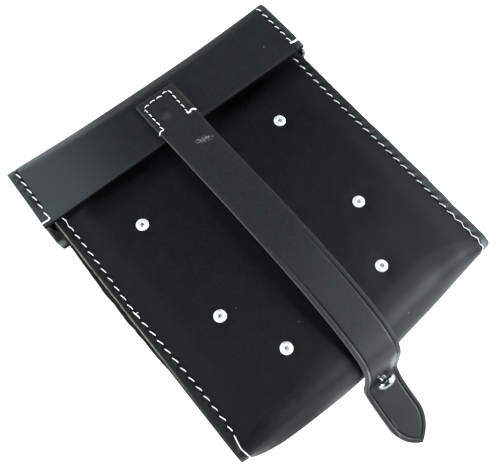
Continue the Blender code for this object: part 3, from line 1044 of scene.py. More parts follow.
def leather_material(
    name, colour, roughness, groups, mottle=0.2, specular=0.25, crease=False, spots=(),
    worn=2.0, margin=(), dull=(), bare=None, pale=None, calm=(),
):
    """A waxed grain side in the colour of its dye.

    A spot is its x, y, half sizes, turn, breakup and colour, and its half sizes may be followed by
    half its height and the height of its middle. The margin is the brightness that the
    leather has outside the left seam and outside the upper and the lower end of the right seam. Dull
    is rows of two y between which the gloss changes, and what that adds to the roughness of each side.
    Bare is the colour of the rubbed arris on the left side's upper half. Pale is the two x between
    which the colour is painted brighter, as painted light on that end, and how many times brighter
    it gets. Calm is the two y between which the grain flattens out.
    """
    tree, shader, place = new_material(name)
    shader.inputs["Specular IOR Level"].default_value = specular
    parts = node(tree, "ShaderNodeSeparateXYZ", {0: place}).outputs
    across, height = parts["X"], parts["Y"]
    grain = grouped(tree, groups["grain"], Place=place)
    edge = grouped(
        tree, groups["edge"], Edge_Distance=attribute(tree, "edge_distance"),
        Crease_Inset=CREASE_INSET if crease else -1.0, Side=compute(tree, "SIGN", across), Place=place,
    )
    right = fade(tree, across, -0.001, 0.001)
    side = times_plus(tree, right, 2.0, -1.0)
    seam = grouped(
        tree, groups["seam"], Across=attribute(tree, "seam_across"),
        Phase=attribute(tree, "seam_phase"), Side=side, Place=place,
    )
    cool = tuple(channel * tint for channel, tint in zip(colour, (0.9, 1.05, 1.0)))
    warm = tuple(channel * tint for channel, tint in zip(colour, (1.1, 0.95, 1.06)))
    uneven = times_plus(tree, grain["Fleck"], 0.75, times(tree, grain["Mottle"], 0.25))
    dark = mix(tree, grain["Hue"], shade(cool, 1 - mottle), shade(warm, 1 - mottle))
    tone = mix(tree, uneven, dark, mix(tree, grain["Hue"], shade(cool, 1 + mottle), shade(warm, 1 + mottle)))
    tone = mix(tree, times(tree, grain["Scratches"], 0.2), tone, shade(colour, 2.2))
    # painted light: the colour is made brighter towards one end, standing in for a lamp's light on it
    if pale:
        tone = mix(tree, fade(tree, across, pale[0] * MM, pale[1] * MM), tone, shade(colour, pale[2]))
    if margin:
        bright = fade(tree, right, 0, 1, margin[0], fade(tree, height, 0.07, -0.05, margin[1], margin[2]))
        # margin colour: a cool tint, painted darker and purple in patches as painted shade in the puckers'
        # hollows
        margin_tint_and_shade = mix(tree, seam["Hollow Shade"], (0.86, 1.06, 1.0, 1), (0.40, 0.31, 0.40, 1))
        light = node(tree, "ShaderNodeVectorMath", {0: margin_tint_and_shade, "Scale": bright}, operation="SCALE").outputs[0]
        tone = mix(tree, seam["Outside"], tone, light)
    tone = mix(tree, times(tree, edge["Burnish"], 0.3), tone, shade(colour, 1.8))
    tone = mix(tree, times(tree, edge["Arris"], 0.7), tone, shade((0.03, 0.031, 0.028), worn))
    # painted shade along the thread's inner side, over the pressed line
    tone = mix(tree, times(tree, seam["Press And Shade"], 0.7), tone, shade(colour, 0.15))
    tone = mix(tree, seam["Slit"], tone, (0.0004, 0.0004, 0.0004, 1))
    if bare:
        upper = times(tree, fade(tree, right, 0, 1, 1.0, 0.0), fade(tree, height, -0.05, 0.01))
        line = fade(tree, attribute(tree, "edge_distance"), 0.0011, 0.0006)
        patchy = mix(tree, grain["Mottle"], shade(bare, 0.5), shade(bare, 1.2))
        tone = mix(tree, times(tree, line, upper), tone, patchy)
    if crease:
        low = node(tree, "ShaderNodeSeparateXYZ", {0: node(tree, "ShaderNodeUVMap").outputs[0]}).outputs["Y"]
        kept = fade(tree, low, 0.2, 0.13)
        # painted shade: the strap is painted darker over its last 70 to 110 mm towards the tip, toning down
        # the light on the bend and the tongue
        tone = mix(tree, fade(tree, low, 0.11, 0.07, 0.0, 0.6), tone, shade(colour, 0.18))
        # painted shade in the pressed crease
        tone = mix(tree, times(tree, edge["Crease"], kept), tone, shade(colour, 0.05))
        # painted highlight along the crease's lit side, weaker on the tongue and patchy
        catch = times(tree, kept, fade(tree, low, 0.06, 0.1, 0.2, 1.0))
        catch = times(tree, catch, fade(tree, grain["Hue"], 0, 1, 0.15, 0.5))
        lit = times(tree, edge["Crease Highlight"], catch)
        tone = mix(tree, lit, tone, shade(colour, 2.4))
    for x, y, size, turn, breakup, spot_colour in spots:
        wide, long, tall, middle = (*size, 1000, 0)[:4]
        spot = grouped(
            tree, groups["spot"], Place=place, Centre=Vector((x, y, middle)) * MM - FOOTPRINT_MIDDLE,
            Size=Vector((wide, long, tall)) * MM, Turn=math.radians(turn), Breakup=breakup,
        )
        tone = mix(tree, spot["Spot"], tone, shade(spot_colour, 1))
    tree.links.new(tone, shader.inputs["Base Color"])
    steady = fade(tree, height, calm[0] * MM, calm[1] * MM, 1.0, 0.1) if calm else 1.0
    gloss = times(tree, times_plus(tree, uneven, 0.12, -0.06), steady)
    gloss = compute(tree, "ADD", gloss, roughness)
    for start, end, left_change, right_change in dull:
        change = fade(tree, across, -0.06, -0.03, left_change, right_change)
        gloss = times_plus(tree, fade(tree, height, start * MM, end * MM), change, gloss)
    pressed = compute(tree, "MAXIMUM", seam["Slit"], times(tree, seam["Press And Shade"], 0.6))
    tree.links.new(times_plus(tree, pressed, 0.5, gloss), shader.inputs["Roughness"])
    dented = times_plus(tree, pressed, -4.0, grain["Height"])
    dented = times(tree, dented, steady)
    add_bump(tree, shader, 0.5, 0.03 * MM, dented)


def plain_material(name, colour, roughness, variation, scale, metallic=0.0, bump_height=0.0, specular=0.5):
    """A finish with a slight noise in its colour and gloss."""
    tree, shader, place = new_material(name)
    shader.inputs["Metallic"].default_value = metallic
    shader.inputs["Specular IOR Level"].default_value = specular
    patches = cloud(tree, place, scale, 4.0)
    tone = mix(tree, patches, shade(colour, 1 - variation), shade(colour, 1 + variation))
    tree.links.new(tone, shader.inputs["Base Color"])
    gloss = fade(tree, patches, 0, 1, roughness * 0.85, min(roughness * 1.15, 1))
    tree.links.new(gloss, shader.inputs["Roughness"])
    if bump_height:
        add_bump(tree, shader, 0.6, bump_height, patches)


def worn_edge_material(name, worn, colour):
    """A cut edge whose dye has come off along the left side's upper half."""
    tree, shader, place = new_material(name)
    shader.inputs["Specular IOR Level"].default_value = 0.2
    shader.inputs["Roughness"].default_value = 0.8
    parts = node(tree, "ShaderNodeSeparateXYZ", {0: place}).outputs
    left = fade(tree, parts["X"], 0.01, -0.01)
    upper = fade(tree, parts["Y"], -0.05, 0.01)
    patches = fade(tree, cloud(tree, place, 140.0, 4.0, 0.65), 0.36, 0.5)
    rub = times(tree, times(tree, left, upper), patches)
    tree.links.new(mix(tree, rub, shade(colour, 1), shade(worn, 1)), shader.inputs["Base Color"])
    add_bump(tree, shader, 0.6, 0.1 * MM, cloud(tree, place, 600.0))


# x, y, half sizes, turn, breakup and colour of spots: marks on the leather, and painted light and shade
# where a comment says so
BODY_SPOTS = (
    # painted shadow: near-black along under the flap's lower edge, where the flap shades the body
    (-50, 177, (48, 8), 0, 0, (0.0006, 0.0006, 0.0006)),
    (48, 177, (50, 12), 0, 0, (0.0006, 0.0006, 0.0006)),
    # painted highlight: a broad light patch on the right of the fold from front to bottom
    (75, -4, (28, 9), -6, 0, (0.021, 0.023, 0.024)),
    # painted shade: near-black at the lower left corner
    (-97.6, 0, (2.6, 1.8), 0, 0, (0.001, 0.001, 0.001)),
    (-25.3, 38, (0.7, 0.7), 0, 0, (0.09, 0.09, 0.09)),
    (-48.5, 67.8, (0.6, 0.6), 0, 0, (0.09, 0.09, 0.09)),
    (31.3, 0.3, (0.9, 0.6), 0, 0, (0.12, 0.12, 0.12)),
    # painted highlight: a light patch on the lower right corner
    (97.4, 1.5, (2.6, 4.5), 0, 0, (0.11, 0.125, 0.12)),
    (-97.8, 6.5, (1.6, 5.5), 20, 0.7, (0.09, 0.075, 0.055)),
    (84, -2.5, (6, 1.5), -14, 0.6, (0.012, 0.011, 0.016)),
)
LID_SPOTS = (
    # painted light: a lighter patch on the lid's left end, where a lamp's light falls
    (-99, 186, (9, 9), 10, 0, (0.055, 0.065, 0.069)),
    # painted highlight on the flap's right corner, like the ear's highlights beside it
    (103.4, 181.2, (1.7, 3.4), 0, 0.2, (0.11, 0.13, 0.135)),
    (81.7, 195.7, (0.5, 1.0), 30, 0, (0.2, 0.2, 0.2)),
)
GUSSET_SPOTS = (
    # painted light: a light patch on the right ear's front corner, where light falls
    (105, 179, (4.5, 5), 0, 0.35, (0.16, 0.18, 0.18)),
    # browner near the flap, and darker there as painted shade under the flap
    (-104, 177, (7, 6, 14, 66), 0, 0, (0.008, 0.005, 0.003)),
    # painted highlight: a light patch at the left ear's lower end
    (-104, 177, (7, 6, 8, 41), 0, 0.2, (0.24, 0.28, 0.24)),
    (-101, 196, (8, 17), 0, 0.2, (0.008, 0.006, 0.0045)),
)
STRAP_SPOTS = (
    (3.6, 163, (8.5, 3.2), 18, 0.92, (0.4, 0.4, 0.38)),
    (-3.5, 192.5, (5, 4.5), 0, 0.5, (0.055, 0.061, 0.065)),
    (-1.5, 198, (3.6, 1.8), 30, 0, (0.012, 0.012, 0.013)),
    (14.2, 197, (0.6, 11), 0, 0.3, (0.09, 0.085, 0.08)),
    (0.9, 99.3, (0.5, 1.6), 20, 0, (0.002, 0.002, 0.002)),
    (11.9, 77.3, (0.5, 0.7), 0, 0, (0.12, 0.12, 0.12)),
    (-13.5, 77.9, (0.6, 0.6), 0, 0, (0.12, 0.12, 0.12)),
    (11.9, 199, (1.7, 12), 0, 0, (0.036, 0.031, 0.026)),
    # painted highlight on the strap's lower bend, brightest at its right
    (8.5, -15.5, (5.5, 4.5), 0, 0, (0.15, 0.175, 0.165)),
    # painted highlight: a light streak along the left border of the bend
    (-12.6, -14, (0.9, 9), 0, 0.2, (0.2, 0.22, 0.21)),
    (-10.6, -50, (1.2, 11), 8, 0.85, (0.16, 0.17, 0.17)),
)


def finishes():
    """Every material of the pouch by name, made once."""
    colours = bpy.context.scene.pouch_colours
    if "grain_body" in bpy.data.materials:
        return {material.name: material for material in bpy.data.materials}
    groups = {"grain": grain_group(), "edge": edge_group(), "seam": seam_group(), "spot": spot_group()}
    leather_material(
        "grain_body", colours.body, 0.42, groups, mottle=0.45, spots=BODY_SPOTS,
        margin=(0.014, 0.022, 0.075), dull=((-79, -88, 0.5, 0.05), (78, 92, -0.15, -0.18)),
        bare=colours.bare_edge, calm=(70, 86),
    )
    leather_material("grain_gusset", colours.gusset, 0.6, groups, specular=0.1, spots=GUSSET_SPOTS)
    # the lid's left end is painted brighter (pale) as painted light, and LID_SPOTS paints more light there
    leather_material(
        "grain_lid", colours.lid, 0.42, groups, spots=LID_SPOTS, margin=(0.06, 0.05, 0.05),
        dull=((136, 141, 0.1, 0.3),), worn=1.4, pale=(-28, -95, 3.2),
    )
    leather_material("grain_strap", colours.strap, 0.42, groups, crease=True, spots=STRAP_SPOTS)
    plain_material("flesh_side", colours.flesh, 0.9, 0.35, 420, bump_height=0.15 * MM, specular=0.15)
    plain_material("cut_edge", colours.cut_edge, 0.9, 0.5, 300, bump_height=0.1 * MM, specular=0.05)
    plain_material("cut_edge_strap", colours.worn_edge, 0.7, 0.3, 300, bump_height=0.1 * MM, specular=0.2)
    worn_edge_material("cut_edge_body", colours.bare_edge, colours.cut_edge)
    plain_material("thread", colours.thread, 0.7, 0.06, 900, bump_height=0.08 * MM)
    plain_material("plated_satin", colours.metal, 0.5, 0.03, 200, metallic=0.35)
    plain_material("plated_gloss", colours.stud, 0.26, 0.25, 700, metallic=1.0)
    return {material.name: material for material in bpy.data.materials}


# Property groups


def measure(name, description, default):
    return bpy.props.FloatProperty(name=name, description=description, default=default, unit="LENGTH")


def dye(name, description, default):
    return bpy.props.FloatVectorProperty(
        name=name, description=description, default=default, subtype="COLOR"
    )


class PouchSizes(bpy.types.PropertyGroup):
    body_thickness: measure("Body Leather", "Thickness of the body and lid leather", 2.4 * MM)
    gusset_thickness: measure("Gusset Leather", "Thickness of the side leathers", 2.0 * MM)
    strap_thickness: measure("Strap Leather", "Thickness of the strap", 2.5 * MM)
    arris: measure("Worn Arris", "Rounding of the cut edges", 0.35 * MM)
    hem: measure("Hem", "Height of the ears' turned-in edge", 5.0 * MM)
    stitch_length: measure("Stitch Length", "Visible length of one stitch", 3.8 * MM)
    stitch_slant: bpy.props.FloatProperty(
        name="Stitch Slant", description="Angle from the seam to a stitch",
        default=math.radians(16), unit="ROTATION",
    )
    thread_diameter: measure("Thread", "Diameter of the sewing thread", 0.62 * MM)


class PouchColours(bpy.types.PropertyGroup):
    body: dye("Body", "Dye of the body", (0.0045, 0.0052, 0.0056))
    gusset: dye("Gussets", "Dye of the side leathers", (0.0075, 0.0072, 0.0068))
    lid: dye("Lid", "Dye of the lid", (0.0165, 0.0185, 0.0195))
    strap: dye("Strap", "Dye of the strap", (0.021, 0.0222, 0.0222))
    flesh: dye("Flesh Side", "Rough side of the leather", (0.018, 0.017, 0.016))
    cut_edge: dye("Cut Edge", "Dyed edge of the leather", (0.006, 0.006, 0.006))
    worn_edge: dye("Worn Edge", "Rubbed edge of the strap", (0.05, 0.053, 0.05))
    bare_edge: dye("Bare Edge", "Edge of the body without dye", (0.2, 0.19, 0.155))
    thread: dye("Thread", "Sewing thread", (0.93, 0.93, 0.9))
    metal: dye("Metal", "Plating of the rivets", (0.95, 0.96, 0.95))
    stud: dye("Stud", "Plating of the stud", (0.37, 0.4, 0.395))


# Operators


def body_columns():
    seam = (79, 82, 85, 87.5, 89.5, 91, 92, 92.8, 93.5, 94.2, 94.9, 95.6, 96.4, 97.4, 98.6, 99.5, 100)
    return both_sides([*(k * 4 * MM for k in range(20)), *(x * MM for x in seam)])


def rivet_place(surface, x, y):
    """The point of the front under a rivet."""
    path = surface.path(x)
    rows = range(FRONT_ROW, surface.rows + 1)
    row = float(np.interp(y, [path[k].x for k in rows], rows))
    return surface.smooth_point(x, row)


def stud_place():
    z = FRONT_Z - STUD_DEPTH
    return Vector((STUD_X, -bottom_swell(STUD_X, z), z))


class POUCH_OT_body(bpy.types.Operator):
    """Build the body's front, bottom and back from one leather, with its punched holes"""

    bl_idname = "pouch.body"
    bl_label = "Body"

    def execute(self, context):
        sizes = context.scene.pouch_sizes
        surface = BodySurface()
        rows = range(surface.rows + 1)
        bm, _ = grid_mesh(body_columns(), rows, surface.point, surface.marks)
        piece = leather_piece("body_leather", bm, "grain_body", "cut_edge_body", sizes.body_thickness)
        reach = Vector((0, 0, 2 * sizes.body_thickness))
        holes = []
        for x, y in RIVETS:
            spot = rivet_place(surface, x * MM, y * MM)
            holes.append((RIVET_HOLE, spot - reach, spot + reach))
        inward = Vector((0, 2 * sizes.body_thickness, 0))
        holes.append((STUD_HOLE, stud_place() + inward, stud_place() - inward))
        punch(piece, holes)
        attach(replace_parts(piece, "body_wrap"), "root")
        return {"FINISHED"}


class POUCH_OT_gussets(bpy.types.Operator):
    """Build the two side walls with their out-turned flanges"""

    bl_idname = "pouch.gussets"
    bl_label = "Side Gussets"

    def execute(self, context):
        for side in SIDES:
            self.build(context, side)
        return {"FINISHED"}

    def build(self, context, side):
        sizes = context.scene.pouch_sizes
        sign = SIDES[side]
        edge_x = sign * BODY_WIDTH / 2
        runs, arcs = (40, 14, 110), (8, 10)
        outer = body_path(edge_x, 0, MOUTH_Y, runs, arcs)
        inset = sizes.body_thickness + SEAM_GAP + sizes.gusset_thickness
        edge = body_path(edge_x, inset, MOUTH_Y, runs, arcs)
        middle_z = BODY_DEPTH / 2
        centre = [Vector((max(point.x, middle_z), middle_z)) for point in edge]
        # x, share of the way in; the first FLANGE_RINGS have a share of the flange's reach for x
        knots = (
            (1, 0.0),
            (0.72, 0.0),
            (0.4, 0.0),
            (GUSSET_WALL_X + GUSSET_BEND, 0.0),
            (GUSSET_WALL_X + GUSSET_BEND * 0.3, 0.02),
            (GUSSET_WALL_X, 0.06),
            (GUSSET_WALL_X + GUSSET_SWELL * 0.35, 0.18),
            (GUSSET_WALL_X + GUSSET_SWELL * 0.65, 0.35),
            (GUSSET_WALL_X + GUSSET_SWELL * 0.9, 0.55),
            (GUSSET_WALL_X + GUSSET_SWELL, 0.75),
        )
        bend_x = knots[FLANGE_RINGS][0]

        def flange_reach(row):
            y, z = edge[row]
            uneven = unevenness(y, z, FLANGE_WAVE[0], 5.5 + sign) * FLANGE_WAVE[1]
            full = read_table(GUSSET_REACH, y, SIDE_COLUMN[side]) if z > middle_z else GUSSET_BACK_REACH
            return full + uneven

        def place(ring, row):
            x, inward = knots[ring]
            y, z = edge[row].lerp(centre[row], inward)
            if ring < FLANGE_RINGS:
                x = bend_x + (flange_reach(row) - bend_x) * x
            swell = bottom_swell(sign * x, outer[row].y) * (1 - inward)
            lumps = unevenness(y, z, GUSSET_LUMP[0], 2.3) * GUSSET_LUMP[1] * smoothstep(0.06, 0.3, inward)
            return Vector((sign * (x + lumps), y - swell, z))

        def marks(ring, row):
            apart = NO_EDGE
            if ring < FLANGE_RINGS:
                apart = (1 - knots[ring][0]) * (flange_reach(row) - bend_x)
            return apart, NO_SEAM, 0

        bm, cells = grid_mesh(range(len(knots)), range(len(edge)), place, marks)
        inner = [vertex for vertex, (_, column) in cells.items() if column == len(knots) - 1]
        bm.faces.new(sorted(inner, key=lambda vertex: -cells[vertex][0]))
        if sign < 0:
            bmesh.ops.reverse_faces(bm, faces=bm.faces)
        piece = leather_piece(f"gusset_{side}", bm, "grain_gusset", "cut_edge", sizes.gusset_thickness)
        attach(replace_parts(piece, f"side_gusset_{side}"), "root")


class POUCH_OT_lid(bpy.types.Operator):
    """Build the lid, whose top fold is softer between its two ends"""

    bl_idname = "pouch.lid"
    bl_label = "Lid"

    def execute(self, context):
        sizes = context.scene.pouch_sizes
        surface = LidSurface()
        ends = [k * 0.0034 for k in range(16)]
        shares = [*ends, *np.linspace(0.06, 0.94, 50), *(1 - share for share in reversed(ends))]
        shares = [float(share) for share in shares]
        bm, _ = grid_mesh(shares, range(surface.rows + 1), surface.point, surface.marks)
        piece = leather_piece("lid_leather", bm, "grain_lid", "cut_edge", sizes.body_thickness)
        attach(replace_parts(piece, "lid"), "root")
        return {"FINISHED"}


class POUCH_OT_ears(bpy.types.Operator):
    """Build the lid's two side pieces, each with a flange, a bulging wall and a turned hem"""

    bl_idname = "pouch.ears"
    bl_label = "Lid Ears"

    def execute(self, context):
        for side in SIDES:
            self.build(context, side)
        return {"FINISHED"}

    def build(self, context, side):
        sizes = context.scene.pouch_sizes
        sign = SIDES[side]
        inset = sizes.body_thickness + SEAM_GAP + sizes.gusset_thickness
        runs, arcs = (30, 28, 4), (12, 5)
        edge = lid_path(inset, LID_END_ROLL[side], runs, arcs)[: runs[0] + arcs[0] + runs[1] + 1]
        free_start = edge[0] - Vector((0, EAR_FREE_DEPTH))
        free_end = Vector((EAR_FREE_TOP_Y, edge[-1].y))
        column = SIDE_COLUMN[side]
        flap_reach = read_table(LID_REACH, FLAP_EDGE_Y, column)
        shares = np.array([row[0] for row in EAR_WALL])
        walls = np.array([row[column] for row in EAR_WALL]) * MM
        fold = sizes.gusset_thickness + HEM_SLACK
        # x, share of the way to the free edge, how far beyond that
        knots = [(flap_reach - EAR_MARGIN, 0.0, 0), (walls[0] + EAR_BEND, 0.0, 0)]
        for share in np.linspace(EAR_WALL[0][0], 0.93, 18):
            knots.append((float(np.interp(share, shares, walls)), float(share), 0))
        for angle in np.radians(np.arange(0, 181, 22.5)):
            knots.append((walls[-1] - fold * (1 - math.cos(angle)), 1.0, fold * (math.sin(angle) - 1)))
        knots += [(walls[-1] - 2 * fold, 1.0, -fold - sizes.hem * share) for share in (0.35, 0.7, 1)]

        def place(ring, row):
            x, inward, beyond = knots[ring]
            free = free_start.lerp(free_end, row / (len(edge) - 1))
            y, z = edge[row].lerp(free, inward) + (free - edge[row]).normalized() * beyond
            lean = read_table(LID_REACH, y, column) - flap_reach
            lumps = unevenness(y, z, EAR_LUMP[0], 4.4 + sign) * EAR_LUMP[1] * smoothstep(0.12, 0.4, inward)
            corner = smoothstep(190 * MM, 181 * MM, y) * smoothstep(0, 0.06, inward)
            corner *= smoothstep(0.4, 0.1, inward)
            return Vector((sign * (x + lean + lumps + EAR_CORNER[side] * corner), y, z))

        def marks(ring, row):
            return (0 if ring == 0 else NO_EDGE), NO_SEAM, 0

        bm, cells = grid_mesh(range(len(knots)), range(1, len(edge)), place, marks)
        self.turn_front(bm, cells, knots, sign, edge[1].x - edge[0].x)
        if sign < 0:
            bmesh.ops.reverse_faces(bm, faces=bm.faces)
        piece = leather_piece(f"ear_{side}", bm, "grain_gusset", "cut_edge", sizes.gusset_thickness)
        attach(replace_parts(piece, f"lid_ear_{side}"), "root")

    def turn_front(self, bm, cells, knots, sign, radius):
        """Turns the wall's front edge in towards the gusset."""
        column_of = {
            vertex: column for vertex, (row, column) in cells.items() if row == 0 and 2 <= column <= 22
        }
        line = [edge for edge in bm.edges if all(vertex in column_of for vertex in edge.verts)]
        starts = {column: vertex.co.copy() for vertex, column in column_of.items()}
        turns = [(1 - math.cos(angle), math.sin(angle), 0) for angle in np.radians((30, 60, 90))]
        turns += [(1, 1, share) for share in (0.2, 0.4, 0.6, 0.8, 1)]
        for inward, forward, onward in turns:
            made = bmesh.ops.extrude_edge_only(bm, edges=line)["geom"]
            line = [item for item in made if isinstance(item, bmesh.types.BMEdge)]
            fresh = [item for item in made if isinstance(item, bmesh.types.BMVert)]
            column_of = {vertex: column_of[self.below(vertex, column_of)] for vertex in fresh}
            for vertex, column in column_of.items():
                start = starts[column]
                reach = TURN_LEAST
                if start.z < TURN_TOP_Z:
                    reach = min(TURN_START + TURN_SLOPE * (TURN_FROM_Z - start.z), TURN_MOST)
                reach = radius + (reach - radius) * smoothstep(0.02, 0.14, knots[column][1])
                across = radius * inward + (reach - radius) * onward
                vertex.co = start - Vector((sign * across, radius * forward, 0))

    def below(self, vertex, known):
        """The vertex that a new one was extruded from."""
        return next(other for edge in vertex.link_edges for other in edge.verts if other in known)


class POUCH_OT_strap(bpy.types.Operator):
    """Build the strap with its pointed tongue, creased edges and stud hole"""

    bl_idname = "pouch.strap"
    bl_label = "Strap"

    def execute(self, context):
        sizes = context.scene.pouch_sizes
        surface = StrapSurface()
        shares = both_sides([*np.linspace(0, 0.6, 9).tolist(), *np.linspace(0.6, 1, 14).tolist()])
        stops = [TONGUE_LENGTH * float(share) ** 1.6 for share in np.linspace(0, 1, 30)]
        stops += [float(stop) for stop in np.linspace(TONGUE_LENGTH, surface.length, 230)[1:]]
        bm, _ = grid_mesh(shares, stops, surface.point, surface.marks)
        piece = leather_piece("strap_leather", bm, "grain_strap", "cut_edge_strap", sizes.strap_thickness)
        hole_ends = (stud_place() - Vector((0, reach, 0)) for reach in (STRAP_HOLE_START, STRAP_HOLE_END))
        punch(piece, [(STRAP_HOLE, *hole_ends)])
        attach(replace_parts(piece, "strap"), "root")
        return {"FINISHED"}


class POUCH_OT_hardware(bpy.types.Operator):
    """Turn the six front rivets and the closing stud"""

    bl_idname = "pouch.hardware"
    bl_label = "Rivets and Stud"

    def execute(self, context):
        made = finishes()
        surface = BodySurface()
        for number, (x, y) in enumerate(RIVETS, 1):
            place = Matrix.Translation(rivet_place(surface, x * MM, y * MM))
            rivet = turned_object(f"rivet_{number}", RIVET_OUTLINE, place, made["plated_satin"], 48)
            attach(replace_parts(rivet, f"front_rivet_{number}"), "root")
        place = Matrix.Translation(stud_place()) @ Matrix.Rotation(math.radians(90), 4, "X")
        stud = turned_object("stud", STUD_OUTLINE, place, made["plated_gloss"], 72)
        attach(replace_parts(stud, "closing_stud"), "root")
        return {"FINISHED"}


# name, diameter, points (x, y, height over the front) of the threads that lie loose
STRANDS = (
    ("lid_left_tail", 1.0, (
        (-100.9, 183.2, 4.9), (-101.0, 182.2, 5.5), (-102.4, 181.7, 5.7), (-104.6, 181.9, 5.7),
        (-106.2, 182.1, 5.3), (-107.0, 182.2, 4.0), (-107.1, 182.2, 2.4),
    )),
    ("lid_right_tail", 1.45, (
        (98.3, 186.9, 4.8), (98.9, 186.0, 5.7), (100.3, 185.5, 5.9), (102.2, 185.6, 5.9),
        (103.8, 185.4, 5.6), (104.7, 185.2, 4.4), (104.9, 185.1, 2.4),
    )),
    ("strap_right_tail", 1.1, (
        (8.4, 186.6, 8.6), (8.5, 185.2, 9.8), (9.3, 184.7, 10.1), (10.6, 185.3, 10.2),
        (11.9, 185.5, 10.1), (13.0, 184.9, 9.8), (13.8, 184.3, 9.2), (14.2, 184.1, 8.4),
    )),
    ("strap_left_tail", 0.7, (
        (-11.3, 185.6, 8.8), (-11.8, 184.9, 9.7), (-13.2, 185.1, 9.9), (-14.3, 184.9, 9.6),
        (-15.0, 184.5, 8.9), (-15.4, 184.2, 7.6),
    )),
    ("body_left_low", 0.62, (
        (-94.7, 13.3, -0.4), (-95.0, 12.3, 0.4), (-95.7, 8.9, 0.6), (-96.3, 5.4, 0.5),
        (-96.1, 3.6, 0.4), (-95.4, 0.4, -0.6), (-94.8, -1.8, -3.4), (-94.4, -2.6, -6.0),
    )),
    ("body_left_loop", 0.55, (
        (-96.3, 104.9, -0.3), (-96.0, 103.6, 0.5), (-95.7, 102.4, 0.6), (-95.5, 100.6, 0.5),
        (-95.5, 99.2, -0.3),
    )),
    ("body_left_prong", 0.4, (
        (-95.7, 102.5, 0.5), (-94.9, 102.6, 0.7), (-94.1, 102.4, 0.6),
    )),
    ("body_right_end", 0.8, (
        (93.6, -0.8, -1.2), (92.6, -1.9, -2.2), (91.3, -2.2, -2.4),
    )),
)


class POUCH_OT_stitches(bpy.types.Operator):
    """Sew the two sides of the body, the two ends of the lid and the strap's end"""

    bl_idname = "pouch.stitches"
    bl_label = "Stitches"

    def execute(self, context):
        sizes = context.scene.pouch_sizes
        thread = finishes()["thread"]
        diameter = sizes.thread_diameter
        gusset_side = -(sizes.body_thickness + SEAM_GAP + sizes.gusset_thickness)
        body = BodySurface()
        shown = {"left": (1,), "right": (22, 23, 24, 25, 26)}
        for side, seam in zip(SIDES, body.seams):
            lines = sew(seam, sizes, shown=shown[side], skipped=(24, 25, 26) if side == "left" else ())
            lines += sew(seam, sizes, base=gusset_side, away=-1)
            thread_object(f"seam_body_{side}", lines, diameter, thread)
        lid = LidSurface()
        for side, seam in zip(SIDES, lid.seams):
            lines = sew(seam, sizes, length_change=0.15)
            lines += sew(seam, sizes, base=-sizes.body_thickness, away=-1)
            thread_object(f"seam_lid_{side}", lines, diameter, thread)
        thread_object("seam_strap", strap_stitches(StrapSurface(), sizes), diameter, thread)
        for name, width, points in STRANDS:
            line = [(Vector((x, y, z)) * MM + Vector((0, 0, FRONT_Z)), 1) for x, y, z in points]
            thread_object(f"strand_{name}", [smooth_line(line)], width * MM, thread)
        return {"FINISHED"}


def smooth_line(line, steps=4):
    """The same line with points between its points, on a curve through them."""
    places = [place for place, _ in line]
    ends = [2 * places[0] - places[1], *places, 2 * places[-1] - places[-2]]
    smooth = []
    for four in zip(ends, ends[1:], ends[2:], ends[3:]):
        smooth += [(curve_point(*four, k / steps), 1) for k in range(steps)]
    return [*smooth, line[-1]]


LAMP_DISTANCE = 1.5
# name, direction that it comes from, diameter, watts
LAMPS = (
    ("left_low", (-0.99, 0, 0.14), 0.62, 38),
    ("lid_left", (-0.3, 0.62, 0.72), 0.62, 1.8),
    ("bottom_right_low", (0.68, -0.68, 0.24), 0.9, 22),
    ("top_low", (0, 0.99, 0.14), 0.62, 7.3),
    ("bottom_right", (0.56, -0.56, 0.6), 1.0, 7.8),
    ("right_high", (0.49, -0.2, 0.85), 0.62, 5.1),
    ("right_low", (0.99, 0, 0.14), 0.62, 4.6),
    ("top_left", (-0.35, 0.84, 0.42), 0.62, 4.5),
    ("bottom", (0.35, -0.84, 0.42), 0.62, 4.3),
    ("left_middle", (-0.84, -0.35, 0.42), 0.62, 3.0),
    ("top_right_low", (0.7, 0.7, 0.14), 0.62, 2.5),
    ("right_middle", (0.74, 0, 0.67), 0.62, 2.4),
    ("overhead", (-0.2, 0.12, 0.97), 0.62, 1.6),
)
LIGHT_COLOUR = (0.93, 1.0, 1.04)
FLOOR_GLOW = 0.62
CAMERA_LENS = 45.16
CAMERA_PLACE = (-0.10576, -0.07720, 0.43228)
# the camera's right, up and back
CAMERA_AXES = (
    (0.76605, -0.64217, 0.02812),
    (0.59642, 0.72644, 0.34142),
    (-0.23968, -0.24477, 0.93949),
)


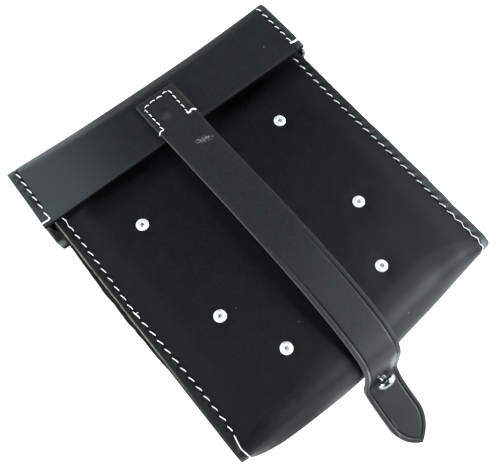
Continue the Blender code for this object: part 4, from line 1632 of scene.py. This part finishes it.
class POUCH_OT_stage(bpy.types.Operator):
    """Lay the pale floor, set the soft lights and place the camera"""

    bl_idname = "pouch.stage"
    bl_label = "Stage"

    def execute(self, context):
        bm = bmesh.new()
        bmesh.ops.create_grid(bm, x_segments=1, y_segments=1, size=6)
        plain_material("floor_paper", (0.82, 0.82, 0.82), 0.9, 0.01, 2, specular=0.2)
        floor = new_object("floor", bm, [bpy.data.materials["floor_paper"]])
        paper = floor.data.materials[0].node_tree.nodes["Principled BSDF"]
        paper.inputs["Emission Color"].default_value = (1, 1, 1, 1)
        paper.inputs["Emission Strength"].default_value = FLOOR_GLOW
        world = bpy.data.worlds.new("studio")
        world.use_nodes = True
        world.node_tree.nodes["Background"].inputs["Color"].default_value = (1, 1, 1, 1)
        world.node_tree.nodes["Background"].inputs["Strength"].default_value = 0.0
        context.scene.world = world
        for name, toward, width, watts in LAMPS:
            light = bpy.data.lights.new(name, "AREA")
            light.shape = "DISK"
            light.size = width
            light.energy = watts
            light.color = LIGHT_COLOUR
            lamp = bpy.data.objects.new(name, light)
            direction = Vector(toward).normalized()
            lamp.location = direction * LAMP_DISTANCE
            lamp.rotation_euler = direction.to_track_quat("Z", "Y").to_euler()
            context.scene.collection.objects.link(lamp)
        camera = bpy.data.objects.new("camera", bpy.data.cameras.new("camera"))
        camera.data.sensor_width = 36
        camera.data.lens = CAMERA_LENS
        turn = Matrix(CAMERA_AXES).transposed().to_4x4()
        camera.matrix_world = Matrix.Translation(CAMERA_PLACE) @ turn
        context.scene.collection.objects.link(camera)
        context.scene.camera = camera
        context.scene.view_settings.view_transform = "Standard"
        return {"FINISHED"}


class VIEW3D_PT_pouch(bpy.types.Panel):
    bl_label = "Leather Tool Pouch"
    bl_space_type = "VIEW_3D"
    bl_region_type = "UI"
    bl_category = "Pouch"

    def draw(self, context):
        for group in (context.scene.pouch_sizes, context.scene.pouch_colours):
            for name in group.bl_rna.properties.keys():
                if name not in ("rna_type", "name"):
                    self.layout.prop(group, name)
        for operator in OPERATORS:
            self.layout.operator(operator.bl_idname)


OPERATORS = (
    POUCH_OT_body,
    POUCH_OT_gussets,
    POUCH_OT_lid,
    POUCH_OT_ears,
    POUCH_OT_strap,
    POUCH_OT_hardware,
    POUCH_OT_stitches,
    POUCH_OT_stage,
)
CLASSES = (PouchSizes, PouchColours, *OPERATORS, VIEW3D_PT_pouch)


def register():
    for cls in CLASSES:
        bpy.utils.register_class(cls)
    bpy.types.Scene.pouch_sizes = bpy.props.PointerProperty(type=PouchSizes)
    bpy.types.Scene.pouch_colours = bpy.props.PointerProperty(type=PouchColours)


def unregister():
    del bpy.types.Scene.pouch_sizes
    del bpy.types.Scene.pouch_colours
    for cls in reversed(CLASSES):
        bpy.utils.unregister_class(cls)


def main():
    register()
    bpy.ops.pouch.body()
    bpy.ops.pouch.gussets()
    bpy.ops.pouch.lid()
    bpy.ops.pouch.ears()
    bpy.ops.pouch.strap()
    bpy.ops.pouch.hardware()
    bpy.ops.pouch.stitches()
    bpy.ops.pouch.stage()


if __name__ == "__main__":
    main()
